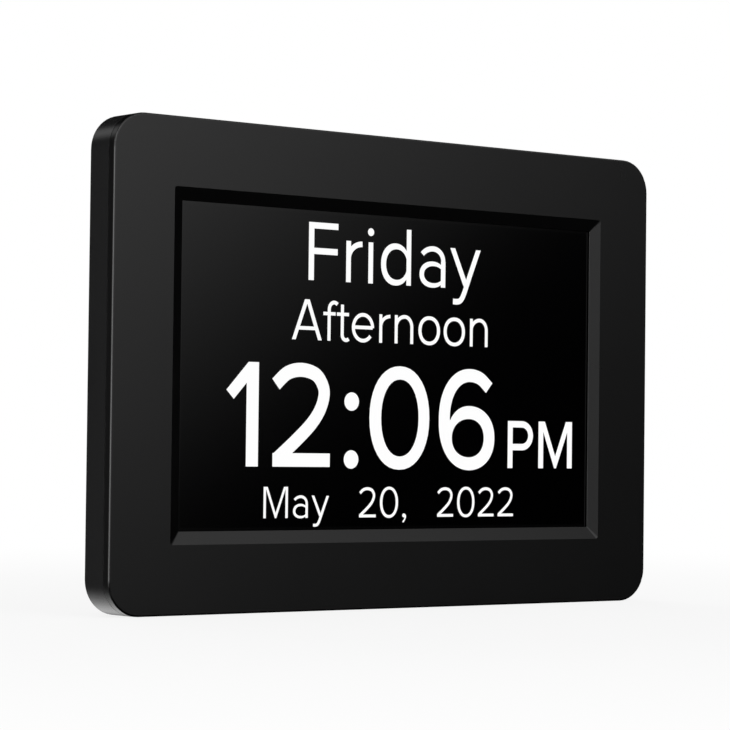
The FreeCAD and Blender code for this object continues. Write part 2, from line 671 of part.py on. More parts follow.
def make_rear_shell():
    """The back: side walls, raised middle, leg recess, posts, keyholes, grille and vents."""
    body = doc.addObject("PartDesign::Body", "shell_body")
    outline = sketch_at(body, "shell_outline", SHELL_FRONT, z=MID_Z)
    draw_rounded_rectangle(outline, "case_width", "case_height", "corner_radius")
    pad(body, "shell_sides", outline, f"{SIDE_DEPTH} - {SHELL_FRONT}")
    doc.recompute()
    side_back = body.Shape.BoundBox.YMax
    hump = sketch_at(body, "hump_outline", SHELL_FRONT, z=f"{HUMP_TOP} / 2")
    draw_rectangle(hump, f"2 * {HUMP_HALF}", HUMP_TOP)
    pad(body, "hump", hump, f"case_depth - {SHELL_FRONT}")
    doc.recompute()
    hump_back = body.Shape.BoundBox.YMax

    half = size("case_width") / 2 - size("hump_inset")
    top = size("case_height") - size("hump_inset")

    def hump_corner(edge):
        box = edge.BoundBox
        upright = abs(box.XMax - box.XMin) < 1e-6 and abs(box.ZMax - box.ZMin) < 1e-6
        return upright and abs(abs(box.XMin) - half) < 1e-4 and abs(box.ZMin - top) < 1e-4

    round_edges(body, "hump_corners", "hump_corner", hump_corner)
    round_edges(body, "hump_round", "hump_round", lambda edge: lies_at(edge, hump_back))

    def rear_outline(edge):
        box = edge.BoundBox
        outside = max(abs(box.XMin), abs(box.XMax)) > half + 1e-4 or box.ZMax > top + 1e-4
        return outside and lies_at(edge, side_back)

    round_edges(body, "side_round", "rear_round", rear_outline)

    cavity = sketch_at(body, "side_cavity", SHELL_FRONT, z=MID_Z)
    draw_rounded_rectangle(
        cavity, "case_width - 2 * wall", "case_height - 2 * wall", "corner_radius - wall"
    )
    pocket(body, "side_pocket", cavity, f"{FLANGE_INSIDE} - {SHELL_FRONT}")
    deep = sketch_at(body, "hump_cavity", SHELL_FRONT, z=f"{HUMP_TOP} / 2")
    draw_rounded_rectangle(
        deep, f"2 * {HUMP_INSIDE}", f"{HUMP_TOP} - 2 * wall", "hump_corner - wall"
    )
    pocket(body, "hump_pocket", deep, f"{BACK_INSIDE} - {SHELL_FRONT}")

    recess_box = block(
        "recess_walls",
        span("0", f"2 * ({RECESS_HALF} + leg_recess_wall)"),
        (RECESS_INSIDE, BACK_INSIDE),
        ("wall / 2", f"{HINGE_Z} + leg_recess_top + leg_recess_wall"),
    )
    posts = pegs("board_post", BOARD_SCREWS, "post_radius", (BOARD_BACK, BACK_INSIDE))
    posts += pegs(
        "button_post", BUTTON_BOARD_SCREWS, "post_radius", (BUTTON_BOARD_BACK, BACK_INSIDE)
    )
    posts += pegs("speaker_post", EAR_PLACES, "post_radius", (SPEAKER_BACK, BACK_INSIDE))
    posts += pegs(
        "shell_boss", CASE_SCREWS, "shell_boss_radius", (SHELL_BOSS_FRONT, FLANGE_INSIDE)
    )
    stand_outer = rod(
        "speaker_stand_outer", "y", SPEAKER_X, SPEAKER_BACK, SPEAKER_Z, "speaker_radius",
        "speaker_stand",
    )
    stand_inner = rod(
        "speaker_stand_inner", "y", SPEAKER_X, SPEAKER_BACK, SPEAKER_Z,
        "speaker_radius - speaker_stand_wall", "speaker_stand",
    )
    speaker_ring = ring("speaker_stand_ring", stand_outer, stand_inner)
    blank = fuse("shell_blank", [body, recess_box, speaker_ring] + posts)

    tools = [
        block("leg_recess", span("0", f"2 * {RECESS_HALF}"), (RECESS_FLOOR, "case_depth"),
              ("0", f"{HINGE_Z} + leg_recess_top")),
        rod("pin_hole", "x", f"-({RECESS_HALF} + leg_recess_wall)", HINGE_DEPTH, HINGE_Z,
            "hinge_pin_radius + hinge_pin_fit", f"2 * ({RECESS_HALF} + leg_recess_wall)"),
        rod("jack_hole", "x", HUMP_INSIDE, JACK_DEPTH, JACK_Z,
            "jack_nose_radius + jack_hole_fit", "wall"),
    ]
    tools += pilots("board_pilot", BOARD_SCREWS, BOARD_BACK, BOARD_FRONT, False)
    tools += pilots(
        "button_board_pilot", BUTTON_BOARD_SCREWS, BUTTON_BOARD_BACK, BUTTON_BOARD_FRONT, False
    )
    tools += pilots(
        "speaker_pilot", EAR_PLACES, SPEAKER_BACK, EAR_FRONT, False, "short_screw_length"
    )
    tools += clearances("case_hole", CASE_SCREWS, (SHELL_BOSS_FRONT, SCREW_SEAT))
    tools += pegs(
        "counterbore", CASE_SCREWS, "head_radius + counterbore_fit", (SCREW_SEAT, SIDE_DEPTH)
    )
    tools += [
        rod(f"button_hole_{name}", "y", x, BACK_INSIDE, BUTTON_Z,
            "button_radius + button_hole_fit", "wall")
        for name, x in zip(BUTTON_NAMES, BUTTON_XS)
    ]
    through_back = (BACK_INSIDE, "case_depth")
    for i, (x, z) in enumerate(KEYHOLES):
        up = f"({z} + keyhole_travel)"
        tools.append(rod(f"keyhole_{i}", "y", x, BACK_INSIDE, z, "keyhole_radius", "wall"))
        tools.append(
            block(f"keyhole_slot_{i}", span(x, "keyhole_slot"), through_back, (z, up))
        )
        tools.append(rod(f"keyhole_end_{i}", "y", x, BACK_INSIDE, up, "keyhole_slot / 2", "wall"))
    reach = "(speaker_radius - speaker_stand_wall)"
    for i in range(GRILLE_SLOTS):
        step = i - (GRILLE_SLOTS - 1) / 2
        z = f"({SPEAKER_Z} + {step} * grille_pitch)"
        far_edge = f"({abs(step)} * grille_pitch + grille_slot / 2)"
        half_chord = f"(sqrt({reach}^2 - {far_edge}^2) - grille_slot / 2)"
        across = span(SPEAKER_X, f"2 * {half_chord}")
        tools.append(block(f"grille_{i}", across, through_back, span(z, "grille_slot")))
    for side in (-1, 1):
        for i in range(VENT_SLOTS):
            step = i - (VENT_SLOTS - 1) / 2
            x = f"({side} * vent_centre + {step} * vent_pitch)"
            tools.append(
                block(f"vent_{side + 1}_{i}", span(x, "vent_width"), through_back,
                      ("vent_rise", "vent_rise + vent_length"))
            )
    return keep("rear_shell", cut("rear_shell", blank, tools))


# ---------------------------------------------------------------------------------------------
# Display
# ---------------------------------------------------------------------------------------------
def layer(name, width, height, depth):
    """A flat layer of the display, centred on the window."""
    return block(name, span("0", width), depth, span(MID_Z, height))


INNER_WIDTH = f"({DISPLAY_WIDTH} - 2 * tray_sheet - 2 * sheet_fit)"
INNER_HEIGHT = f"({DISPLAY_HEIGHT} - 2 * tray_sheet - 2 * sheet_fit)"
DISPLAY_EDGE = f"({MID_Z} - {DISPLAY_HEIGHT} / 2)"
LED_TOP = f"({MID_Z} - {INNER_HEIGHT} / 2 + led_bar_height)"


def make_display():
    """Gasket, glass, diffuser, light guide, lamp bar, metal tray and its flexible lead."""
    depth = (PANEL_SEAT, GLASS_FRONT)
    foam = layer("gasket_foam", DISPLAY_WIDTH, DISPLAY_HEIGHT, depth)
    hole = layer(
        "gasket_hole", f"{OPENING_WIDTH} + 2 * gasket_reveal", f"{OPENING_HEIGHT} + 2 * gasket_reveal",
        depth,
    )
    keep("display_gasket", ring("display_gasket", foam, hole))
    keep("display_glass", layer("display_glass", INNER_WIDTH, INNER_HEIGHT, (GLASS_FRONT, GLASS_BACK)))
    keep(
        "display_diffuser",
        layer("display_diffuser", INNER_WIDTH, INNER_HEIGHT, (GLASS_BACK, GUIDE_FRONT)),
    )
    bottom, top = span(MID_Z, INNER_HEIGHT)
    side = span("0", INNER_WIDTH)
    keep(
        "backlight_guide",
        block("backlight_guide", side, (GUIDE_FRONT, GUIDE_BACK), (LED_TOP, top)),
    )
    keep(
        "backlight_lamp_bar",
        block("backlight_lamp_bar", side, (GUIDE_FRONT, GUIDE_BACK), (bottom, LED_TOP)),
    )
    tray = layer("tray_outer", DISPLAY_WIDTH, DISPLAY_HEIGHT, (GLASS_FRONT, TRAY_BACK))
    tray_width = f"{DISPLAY_WIDTH} - 2 * tray_sheet"
    tray_height = f"{DISPLAY_HEIGHT} - 2 * tray_sheet"
    tray_hollow = layer("tray_hollow", tray_width, tray_height, (GLASS_FRONT, GUIDE_BACK))
    slot = block(
        "tray_slot",
        span("0", "flex_width + 2 * sheet_fit"),
        (GLASS_FRONT, GUIDE_FRONT),
        (DISPLAY_EDGE, f"{DISPLAY_EDGE} + tray_sheet"),
    )
    keep("display_tray", cut("display_tray", tray, [tray_hollow, slot]))

    low = f"({DISPLAY_EDGE} - flex_drop)"
    first = f"({GLASS_BACK} - flex_sheet)"
    socket_front = f"({BOARD_FRONT} - flex_socket_thickness)"
    side = span("0", "flex_width")
    mid = f"({TRAY_BACK} + sheet_fit + flex_sheet)"
    high = f"({BOARD_BOTTOM} + flex_landing)"
    runs = [
        block("flex_out", side, (first, GLASS_BACK), (low, bottom)),
        block("flex_under", side, (first, mid), (low, f"{low} + flex_sheet")),
        block("flex_up", side, (f"{mid} - flex_sheet", mid), (low, high)),
        block("flex_back", side, (f"{mid} - flex_sheet", socket_front),
              (f"{high} - flex_sheet", high)),
    ]
    keep("display_flex", fuse("display_flex", runs))
    keep(
        "flex_socket",
        block("flex_socket", span("0", "flex_width + 2 * socket_wall"),
              (socket_front, BOARD_FRONT),
              span(f"{high} - flex_sheet / 2", "flex_socket_height")),
    )
    for side_name, side_sign in (("left", -1), ("right", 1)):
        places = [place for place in RETAINER_SCREWS if place[0].startswith(f"{side_sign} *")]
        near = f"{side_sign} * ({DISPLAY_WIDTH} / 2 - retainer_lap)"
        far = f"{side_sign} * ({CASE_BOSS_SIDE} - retainer_clear)"
        bar = block(
            f"retainer_{side_name}_bar",
            (near, far) if side_sign > 0 else (far, near),
            (TRAY_BACK, RETAINER_BACK),
            span(MID_Z, "retainer_length"),
        )
        holes = clearances(f"retainer_hole_{side_name}", places, (TRAY_BACK, RETAINER_BACK))
        keep(f"display_retainer_{side_name}", cut(f"display_retainer_{side_name}", bar, holes))


# ---------------------------------------------------------------------------------------------
# Main board and what it carries
# ---------------------------------------------------------------------------------------------
JACK_Z = f"({BOARD_BOTTOM} + jack_rise)"
JACK_DEPTH = f"({BOARD_BACK} + jack_height / 2)"
JACK_FACE = f"({HUMP_INSIDE} - jack_hole_fit)"


def on_board(name, x, z, width, height, thickness):
    """A flat part on the back of the main board."""
    depth = (BOARD_BACK, f"{BOARD_BACK} + {thickness}")
    return block(name, span(x, width), depth, span(z, height))


def make_main_board():
    depth = (BOARD_FRONT, BOARD_BACK)
    board = block("board_sheet", (BOARD_LEFT, BOARD_RIGHT), depth, (BOARD_BOTTOM, BOARD_TOP))
    holes = clearances("board_hole", BOARD_SCREWS, depth)
    keep("main_board", cut("main_board", board, holes))


PROCESSOR = ("processor_right", f"({BOARD_BOTTOM} + processor_rise)")


def make_board_parts():
    """Chips, crystal, coil, capacitors, clock cell and wire sockets."""
    x, z = PROCESSOR
    size_words = "processor_size"
    keep("processor_chip", on_board("processor_chip", x, z, size_words, size_words, "processor_height"))
    keep(
        "memory_chip",
        on_board("memory_chip", f"({x} + processor_size / 2 + part_gap + memory_width / 2)", z,
                 "memory_width", "memory_height", "chip_thickness"),
    )
    keep(
        "sound_chip",
        on_board("sound_chip", f"({BOARD_LEFT} + sound_inset)", f"({BOARD_BOTTOM} + sound_rise)",
                 "memory_height", "memory_height", "chip_thickness"),
    )
    keep(
        "clock_crystal",
        rod("clock_crystal", "x", f"({x} - crystal_length / 2)",
            f"({BOARD_BACK} + crystal_radius)", f"({z} - processor_size / 2 - part_gap)",
            "crystal_radius", "crystal_length"),
    )
    power_x = f"({BOARD_RIGHT} - jack_length - power_gap)"
    keep(
        "power_coil",
        on_board("power_coil", power_x, JACK_Z, "inductor_size", "inductor_size", "inductor_height"),
    )
    cans = [
        rod(f"capacitor_{i}", "y", f"({power_x} - inductor_size / 2 - part_gap - capacitor_radius)",
            BOARD_BACK, f"({JACK_Z} + {i - 0.5} * capacitor_pitch)",
            "capacitor_radius", "capacitor_height")
        for i in range(2)
    ]
    keep("capacitors", group("capacitors", cans))

    cell_z = f"({BOARD_BOTTOM} + cell_rise)"
    floor = f"({BOARD_BACK} + holder_floor)"
    holder = rod("holder_outer", "y", CELL_X, BOARD_BACK, cell_z, HOLDER_RADIUS,
                 "holder_floor + cell_thickness * holder_share")
    cup = rod("holder_cup", "y", CELL_X, floor, cell_z, "cell_radius + holder_fit", "cell_thickness")
    keep("cell_holder", cut("cell_holder", holder, [cup]))
    keep("clock_cell", rod("clock_cell", "y", CELL_X, floor, cell_z, "cell_radius", "cell_thickness"))

    sockets = {}
    for name, x in (("speaker_socket", SPEAKER_SOCKET_X),
                    ("button_socket", f"({BUTTON_XS[2]} - button_pitch / 2)")):
        top = f"({BOARD_TOP} - socket_edge)"
        depth = (BOARD_BACK, f"{BOARD_BACK} + socket_thickness")
        sockets[name] = keep(
            name, block(name, span(x, "socket_width"), depth, (f"{top} - socket_height", top))
        )
    return sockets


def make_power_inlet():
    """The barrel socket for the mains adaptor, its centre pin a separate contact."""
    body = block(
        "jack_block",
        (f"{JACK_FACE} - jack_length", JACK_FACE),
        (BOARD_BACK, f"{BOARD_BACK} + jack_height"),
        span(JACK_Z, "jack_width"),
    )
    outside = f"({HUMP_HALF} - {JACK_FACE})"
    nose = rod("jack_nose", "x", JACK_FACE, JACK_DEPTH, JACK_Z, "jack_nose_radius", outside)
    bottom = f"({HUMP_HALF} - jack_bore_deep)"
    bore = rod("jack_bore", "x", bottom, JACK_DEPTH, JACK_Z, "jack_bore_radius", "jack_bore_deep")
    keep("power_jack", cut("power_jack", fuse("jack_blank", [body, nose]), [bore]))
    keep(
        "power_jack_pin",
        rod("power_jack_pin", "x", bottom, JACK_DEPTH, JACK_Z, "jack_pin_radius",
            "jack_bore_deep - jack_pin_recess"),
    )


# ---------------------------------------------------------------------------------------------
# Buttons
# ---------------------------------------------------------------------------------------------
def make_button(name, x):
    """A round cap with a stop flange and a stem, its plunger, and the switch under it."""
    cap_length = "(wall + button_stop_gap + button_proud)"
    flange_back = f"({FLANGE_FRONT} + button_flange)"
    cap = rod(f"cap_{name}", "y", x, flange_back, BUTTON_Z, "button_radius", cap_length)
    doc.recompute()
    face = [
        i for i, edge in enumerate(cap.Shape.Edges, start=1)
        if edge.Closed and abs(edge.BoundBox.YMin - cap.Shape.BoundBox.YMax) < 1e-4
    ]
    round_cap = doc.addObject("Part::Fillet", f"cap_round_{name}")
    round_cap.Base = cap
    radius = size("button_edge_round")
    round_cap.Edges = [(i, radius, radius) for i in face]
    flange = rod(f"flange_{name}", "y", x, FLANGE_FRONT, BUTTON_Z, "button_flange_radius", "button_flange")
    stem = rod(f"stem_{name}", "y", x, f"{FLANGE_FRONT} - button_stem_length", BUTTON_Z,
               "button_stem_radius", "button_stem_length")
    keep(f"button_{name}", fuse(f"button_{name}", [round_cap, flange, stem]))
    keep(
        f"plunger_{name}",
        rod(f"plunger_{name}", "y", x, f"({SWITCH_BACK} - plunger_deep)", BUTTON_Z, "plunger_radius",
            "plunger_deep + plunger_proud"),
    )
    case = block(f"switch_case_{name}", span(x, "switch_size"), (BUTTON_BOARD_BACK, SWITCH_BACK),
                 span(BUTTON_Z, "switch_size"))
    room = "(plunger_deep + button_travel + plunger_spare)"
    well = rod(f"switch_well_{name}", "y", x, f"({SWITCH_BACK} - {room})", BUTTON_Z,
               "plunger_radius + plunger_hole_fit", room)
    return cut(f"switch_{name}", case, [well])


def make_buttons():
    switches = [make_button(name, x) for name, x in zip(BUTTON_NAMES, BUTTON_XS)]
    keep("button_switches", group("button_switches", switches))
    left = f"({BUTTON_BOARD_SCREWS[0][0]} - button_board_end)"
    right = f"({BUTTON_BOARD_SCREWS[1][0]} + button_board_end)"
    depth = (BUTTON_BOARD_FRONT, BUTTON_BOARD_BACK)
    board = block("button_board_sheet", (left, right), depth, span(BUTTON_Z, "button_board_height"))
    holes = clearances("button_board_hole", BUTTON_BOARD_SCREWS, depth)
    return keep("button_board", cut("button_board", board, holes))


# ---------------------------------------------------------------------------------------------
# Loudspeaker
# ---------------------------------------------------------------------------------------------
def make_speaker():
    """A small round loudspeaker that faces the grille: basket, cone and magnet."""
    flange = rod("basket_flange", "y", SPEAKER_X, EAR_FRONT, SPEAKER_Z, "speaker_radius", "speaker_flange")
    bowl_length = "(speaker_height - speaker_flange)"
    bowl = taper("basket_bowl", SPEAKER_X, SPEAKER_FRONT, SPEAKER_Z, "speaker_neck_radius",
                 "speaker_radius - speaker_step", bowl_length)
    ears = pegs("speaker_ear", EAR_PLACES, "ear_radius", (EAR_FRONT, SPEAKER_BACK))
    bridge_middle = "(speaker_radius + (ear_reach - ear_radius) / 2)"
    bridges = [
        block(f"ear_bridge_{side + 1}",
              span(f"({SPEAKER_X} + {side} * {bridge_middle})", "ear_reach + ear_radius"),
              (EAR_FRONT, SPEAKER_BACK), span(SPEAKER_Z, "ear_neck"))
        for side in (-1, 1)
    ]
    tab_start = f"({SPEAKER_X} + speaker_neck_radius)"
    tab = block("terminal_tab", (tab_start, TERMINAL_END), (f"{EAR_FRONT} - terminal_sheet", EAR_FRONT),
                (f"{SPEAKER_Z} + ear_radius", f"{SPEAKER_Z} + ear_radius + terminal_width"))
    ledge = f"({SPEAKER_BACK} - cone_ledge)"
    ledge_radius = "(speaker_radius - speaker_stand_wall - speaker_step)"
    inner_floor = f"({SPEAKER_FRONT} + speaker_wall)"
    throat = taper("basket_throat", SPEAKER_X, inner_floor, SPEAKER_Z, "speaker_neck_radius - speaker_wall",
                   f"{ledge_radius} - cone_ledge_width", f"{ledge} - {inner_floor}")
    mouth = rod("basket_mouth", "y", SPEAKER_X, ledge, SPEAKER_Z, ledge_radius, "cone_ledge")
    holes = clearances("ear_hole", EAR_PLACES, (EAR_FRONT, SPEAKER_BACK))
    blank = fuse("basket_blank", [flange, bowl, tab] + ears + bridges)
    keep("speaker_basket", cut("speaker_basket", blank, [throat, mouth] + holes))

    cone_radius = f"({ledge_radius} - cone_fit)"
    sheet_radius = f"({ledge_radius} - cone_ledge_width - cone_fit)"
    edge = rod("cone_edge_disc", "y", SPEAKER_X, ledge, SPEAKER_Z, cone_radius, "cone_edge")
    cone_front = f"({inner_floor} + cone_rise)"
    cone_length = f"({ledge} - {cone_front})"
    funnel = taper("cone_funnel", SPEAKER_X, cone_front, SPEAKER_Z, "cone_cap_radius", sheet_radius,
                   cone_length)
    hollow = taper("cone_hollow", SPEAKER_X, f"({cone_front} + cone_sheet)", SPEAKER_Z,
                   "cone_cap_radius - cone_sheet", f"{sheet_radius} - cone_sheet",
                   f"({cone_length} - cone_sheet)")
    centre = rod("cone_centre", "y", SPEAKER_X, ledge, SPEAKER_Z, f"{sheet_radius} - cone_sheet",
                 "cone_edge")
    keep("speaker_cone", cut("speaker_cone", fuse("cone_blank", [edge, funnel]), [hollow, centre]))
    keep(
        "speaker_magnet",
        rod("speaker_magnet", "y", SPEAKER_X, f"({SPEAKER_FRONT} - magnet_height)", SPEAKER_Z,
            "magnet_radius", "magnet_height"),
    )
    return tab


# ---------------------------------------------------------------------------------------------
# Leg
# ---------------------------------------------------------------------------------------------
def make_leg():
    """The fold-out leg with its hinge barrel, stop heel, thumb notch, pin and rubber pads."""
    front = f"({HINGE_DEPTH} - leg_thickness / 2)"
    back = f"({HINGE_DEPTH} + leg_thickness / 2)"
    plate = block("leg_plate", span("0", "leg_width"), (front, back),
                  ("leg_foot_gap", f"{HINGE_Z} + stop_heel"))
    doc.recompute()
    low = plate.Shape.BoundBox.ZMin
    corners = [
        i for i, edge in enumerate(plate.Shape.Edges, start=1)
        if abs(edge.BoundBox.ZMax - low) < 1e-4 and edge.BoundBox.YLength > 1e-3 > edge.BoundBox.XLength
    ]
    rounded = doc.addObject("Part::Fillet", "leg_rounded")
    rounded.Base = plate
    radius = size("leg_corner")
    rounded.Edges = [(i, radius, radius) for i in corners]
    barrel = rod("leg_barrel", "x", "-leg_width / 2", HINGE_DEPTH, HINGE_Z,
                 "hinge_barrel_radius", "leg_width")
    hole = rod("leg_pin_hole", "x", "-leg_width / 2", HINGE_DEPTH, HINGE_Z,
               "hinge_pin_radius + hinge_pin_fit", "leg_width")
    notch = rod("leg_notch", "y", "0", front, "leg_foot_gap", "leg_notch_radius", "leg_thickness")
    inner = "(leg_notch_radius + foot_pad_inset)"
    outer = "(leg_width / 2 - leg_corner)"
    pads = []
    slots = []
    for side in (-1, 1):
        x = (f"{side} * ({inner} + {outer}) / 2 - ({outer} - {inner}) / 2",
             f"{side} * ({inner} + {outer}) / 2 + ({outer} - {inner}) / 2")
        z = ("leg_foot_gap", "leg_foot_gap + foot_pad_height")
        pad_depth = (f"{back} - foot_pad_thickness", back)
        slots.append(block(f"pad_slot_{side + 1}", x, pad_depth, z))
        pads.append(block(f"pad_{side + 1}", x, pad_depth, z))
    keep("stand_leg", cut("stand_leg", fuse("leg_blank", [rounded, barrel]), [hole, notch] + slots))
    keep("leg_pads", group("leg_pads", pads))
    reach = f"({RECESS_HALF} + leg_recess_wall - hinge_pin_end)"
    keep(
        "leg_pin",
        rod("leg_pin", "x", f"-{reach}", HINGE_DEPTH, HINGE_Z, "hinge_pin_radius", f"2 * {reach}"),
    )


# ---------------------------------------------------------------------------------------------
# Leads
# ---------------------------------------------------------------------------------------------
def tube_along(points, radius):
    """A round lead along straight runs joined by arcs as large as the runs allow."""
    share = 0.45
    edges = []
    start = points[0]
    for before, corner, after in zip(points, points[1:], points[2:]):
        come, leave = corner - before, after - corner
        turn = come.getAngle(leave)
        trim = share * min(come.Length, leave.Length)
        bend = trim / math.tan(turn / 2)
        come.normalize()
        leave.normalize()
        first, last = corner - come * trim, corner + leave * trim
        inward = leave - come
        inward.normalize()
        middle = corner + inward * (bend / math.cos(turn / 2) - bend)
        edges.append(Part.LineSegment(start, first).toShape())
        edges.append(Part.Arc(first, middle, last).toShape())
        start = last
        print(f"  bend radius {bend:.1f}")
    edges.append(Part.LineSegment(start, points[-1]).toShape())
    path = Part.Wire(edges)
    heading = points[1] - points[0]
    circle = Part.Wire(Part.makeCircle(radius, points[0], heading))
    tube = path.makePipeShell([circle], True, False)
    expected = math.pi * radius**2 * path.Length
    if abs(tube.Volume - expected) > 0.02 * expected:
        raise RuntimeError(f"lead volume {tube.Volume:.2f}, expected {expected:.2f}")
    return tube


def make_lead(name, routes):
    """Side by side wires in one node."""
    wires = Part.makeCompound([tube_along(route, size("lead_radius")) for route in routes])
    feature = doc.addObject("Part::Feature", name)
    feature.Shape = wires
    feature.Placement = FreeCAD.Placement()
    return keep(name, feature)


def make_leads(sockets, tab, button_board):
    doc.recompute()
    pitch = size("lead_pitch")
    radius = size("lead_radius")

    box = tab.Shape.BoundBox
    socket = sockets["speaker_socket"].Shape.BoundBox
    routes = []
    for i in range(2):
        start = Vector(box.XMax, box.Center.y, box.Center.z + pitch * (0.5 - i))
        end = Vector(socket.Center.x + pitch * (0.5 - i), socket.Center.y, socket.ZMax)
        over = Vector(end.x + radius, start.y, start.z)
        down = Vector(end.x, end.y, (over.z + end.z) / 2)
        routes.append([start, over, down, end])
    make_lead("speaker_lead", routes)

    box = button_board.Shape.BoundBox
    socket = sockets["button_socket"].Shape.BoundBox
    routes = []
    for i in range(2):
        x = socket.Center.x + pitch * (0.5 - i)
        start = Vector(x, box.Center.y, box.ZMin)
        end = Vector(x, socket.Center.y, socket.ZMax)
        drop = (start.z - end.z) / 3
        upper = Vector(x, start.y, start.z - drop)
        lower = Vector(x, end.y, end.z + drop)
        routes.append([start, upper, lower, end])
    make_lead("button_lead", routes)


# ---------------------------------------------------------------------------------------------
# Assembly
# ---------------------------------------------------------------------------------------------
def check_model():
    """Stop on any failed object and on any empty or invalid piece."""
    for obj in doc.Objects:
        if "Invalid" in obj.State or "Error" in obj.State:
            raise RuntimeError(f"{obj.Label} failed: {obj.State}")
    for part in subparts:
        if part.Shape.isNull() or not part.Shape.isValid():
            raise RuntimeError(f"{part.Label} has no valid shape")


def write_parts():
    os.makedirs("parts", exist_ok=True)
    for part in subparts:
        part.Shape.exportStep(f"parts/{part.Label}.step")


def main():
    fill_sheet()
    make_front_bezel()
    make_rear_shell()
    screw_set("case_screws", CASE_SCREWS, SCREW_SEAT, True)
    make_display()
    screw_set("retainer_screws", RETAINER_SCREWS, RETAINER_BACK, True, "short_screw_length")
    make_main_board()
    screw_set("board_screws", BOARD_SCREWS, BOARD_FRONT, False)
    sockets = make_board_parts()
    make_power_inlet()
    button_board = make_buttons()
    screw_set("button_board_screws", BUTTON_BOARD_SCREWS, BUTTON_BOARD_FRONT, False)
    tab = make_speaker()
    screw_set("speaker_screws", EAR_PLACES, EAR_FRONT, False, "short_screw_length")
    make_leg()
    make_leads(sockets, tab, button_board)
    doc.recompute()
    check_model()
    write_parts()
    print(len(subparts), "pieces written")


main()
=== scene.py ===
"""A day clock for a table: the finishes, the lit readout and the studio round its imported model.

Every length is in metres, in the model's own frame: X to the right seen from the front,
Y into the clock, Z up from the flat underside.
"""

import json
import math

import bmesh
import bpy
from bpy.props import FloatProperty, FloatVectorProperty, PointerProperty, StringProperty
from bpy.types import Operator, Panel, PropertyGroup
from mathutils import Matrix, Vector
from mathutils.geometry import delaunay_2d_cdt


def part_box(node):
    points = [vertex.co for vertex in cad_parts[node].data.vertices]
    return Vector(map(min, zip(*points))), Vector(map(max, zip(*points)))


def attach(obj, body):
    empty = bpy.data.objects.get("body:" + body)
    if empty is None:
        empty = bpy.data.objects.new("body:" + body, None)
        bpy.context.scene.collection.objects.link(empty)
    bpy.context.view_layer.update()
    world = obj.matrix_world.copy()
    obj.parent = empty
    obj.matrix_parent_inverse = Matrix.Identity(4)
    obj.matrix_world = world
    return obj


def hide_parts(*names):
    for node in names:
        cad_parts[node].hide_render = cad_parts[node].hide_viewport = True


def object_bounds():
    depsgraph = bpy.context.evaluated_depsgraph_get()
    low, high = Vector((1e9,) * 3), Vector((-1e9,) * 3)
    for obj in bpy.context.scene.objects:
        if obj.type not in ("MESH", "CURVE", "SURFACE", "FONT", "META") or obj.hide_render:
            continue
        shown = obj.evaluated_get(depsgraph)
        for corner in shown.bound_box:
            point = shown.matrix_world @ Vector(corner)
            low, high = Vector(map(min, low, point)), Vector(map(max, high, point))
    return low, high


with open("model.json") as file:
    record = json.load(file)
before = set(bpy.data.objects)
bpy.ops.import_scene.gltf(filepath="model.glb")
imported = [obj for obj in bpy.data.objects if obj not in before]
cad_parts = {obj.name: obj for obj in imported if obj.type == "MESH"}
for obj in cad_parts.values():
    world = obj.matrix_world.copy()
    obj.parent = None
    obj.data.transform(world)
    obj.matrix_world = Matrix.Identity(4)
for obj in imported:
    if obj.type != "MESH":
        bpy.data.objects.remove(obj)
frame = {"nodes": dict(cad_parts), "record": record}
cad_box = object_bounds()

bl_info = {
    "name": "Day Clock",
    "version": (1, 0, 0),
    "blender": (4, 5, 0),
    "location": "View3D > Sidebar > Day Clock",
    "description": "Finishes, readout and studio for a table day clock",
    "category": "Object",
}

MM = 0.001
GLASS_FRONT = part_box("display_glass")[0][1]
CASE_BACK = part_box("rear_shell")[1][1]
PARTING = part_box("rear_shell")[0][1]
MIDDLE_HEIGHT = (cad_box[0][2] + cad_box[1][2]) / 2
SLOT_OF = {part["node"]: part["material_slot"] for part in frame["record"]["subparts"]}

# --------------------------------------------------------------------------- settings


class ClockSizes(PropertyGroup):
    """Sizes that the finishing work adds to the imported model."""

    readout_proud: FloatProperty(
        name="Readout thickness", description="How far the lit figures stand off the glass",
        default=0.02 * MM, subtype="DISTANCE", unit="LENGTH", precision=6)
    lit_width: FloatProperty(
        name="Lit width", description="Width of the lit area of the screen",
        default=151.4 * MM, subtype="DISTANCE", unit="LENGTH", precision=4)
    lit_height: FloatProperty(
        name="Lit height", description="Height of the lit area of the screen",
        default=90.0 * MM, subtype="DISTANCE", unit="LENGTH", precision=4)
    bezel_edge: FloatProperty(
        name="Bezel edge", description="Softness of the moulded edges of the bezel",
        default=0.12 * MM, subtype="DISTANCE", unit="LENGTH", precision=6)
    case_edge: FloatProperty(
        name="Case edge", description="Softness of the moulded edges of the rear shell and the leg",
        default=0.20 * MM, subtype="DISTANCE", unit="LENGTH", precision=6)
    print_proud: FloatProperty(
        name="Print thickness", description="How far the button signs stand off the case",
        default=0.03 * MM, subtype="DISTANCE", unit="LENGTH", precision=6)
    sign_height: FloatProperty(
        name="Sign height", description="Height of a printed sign above its button",
        default=2.6 * MM, subtype="DISTANCE", unit="LENGTH", precision=5)
    sign_gap: FloatProperty(
        name="Sign gap", description="Space between a button's hole and its sign",
        default=1.1 * MM, subtype="DISTANCE", unit="LENGTH", precision=5)
    pad_rib: FloatProperty(
        name="Pad rib", description="Pitch of the ribs across the rubber pads of the leg",
        default=1.0 * MM, subtype="DISTANCE", unit="LENGTH", precision=5)
    pad_groove: FloatProperty(
        name="Pad groove", description="Depth of the grooves between the ribs",
        default=0.3 * MM, subtype="DISTANCE", unit="LENGTH", precision=5)


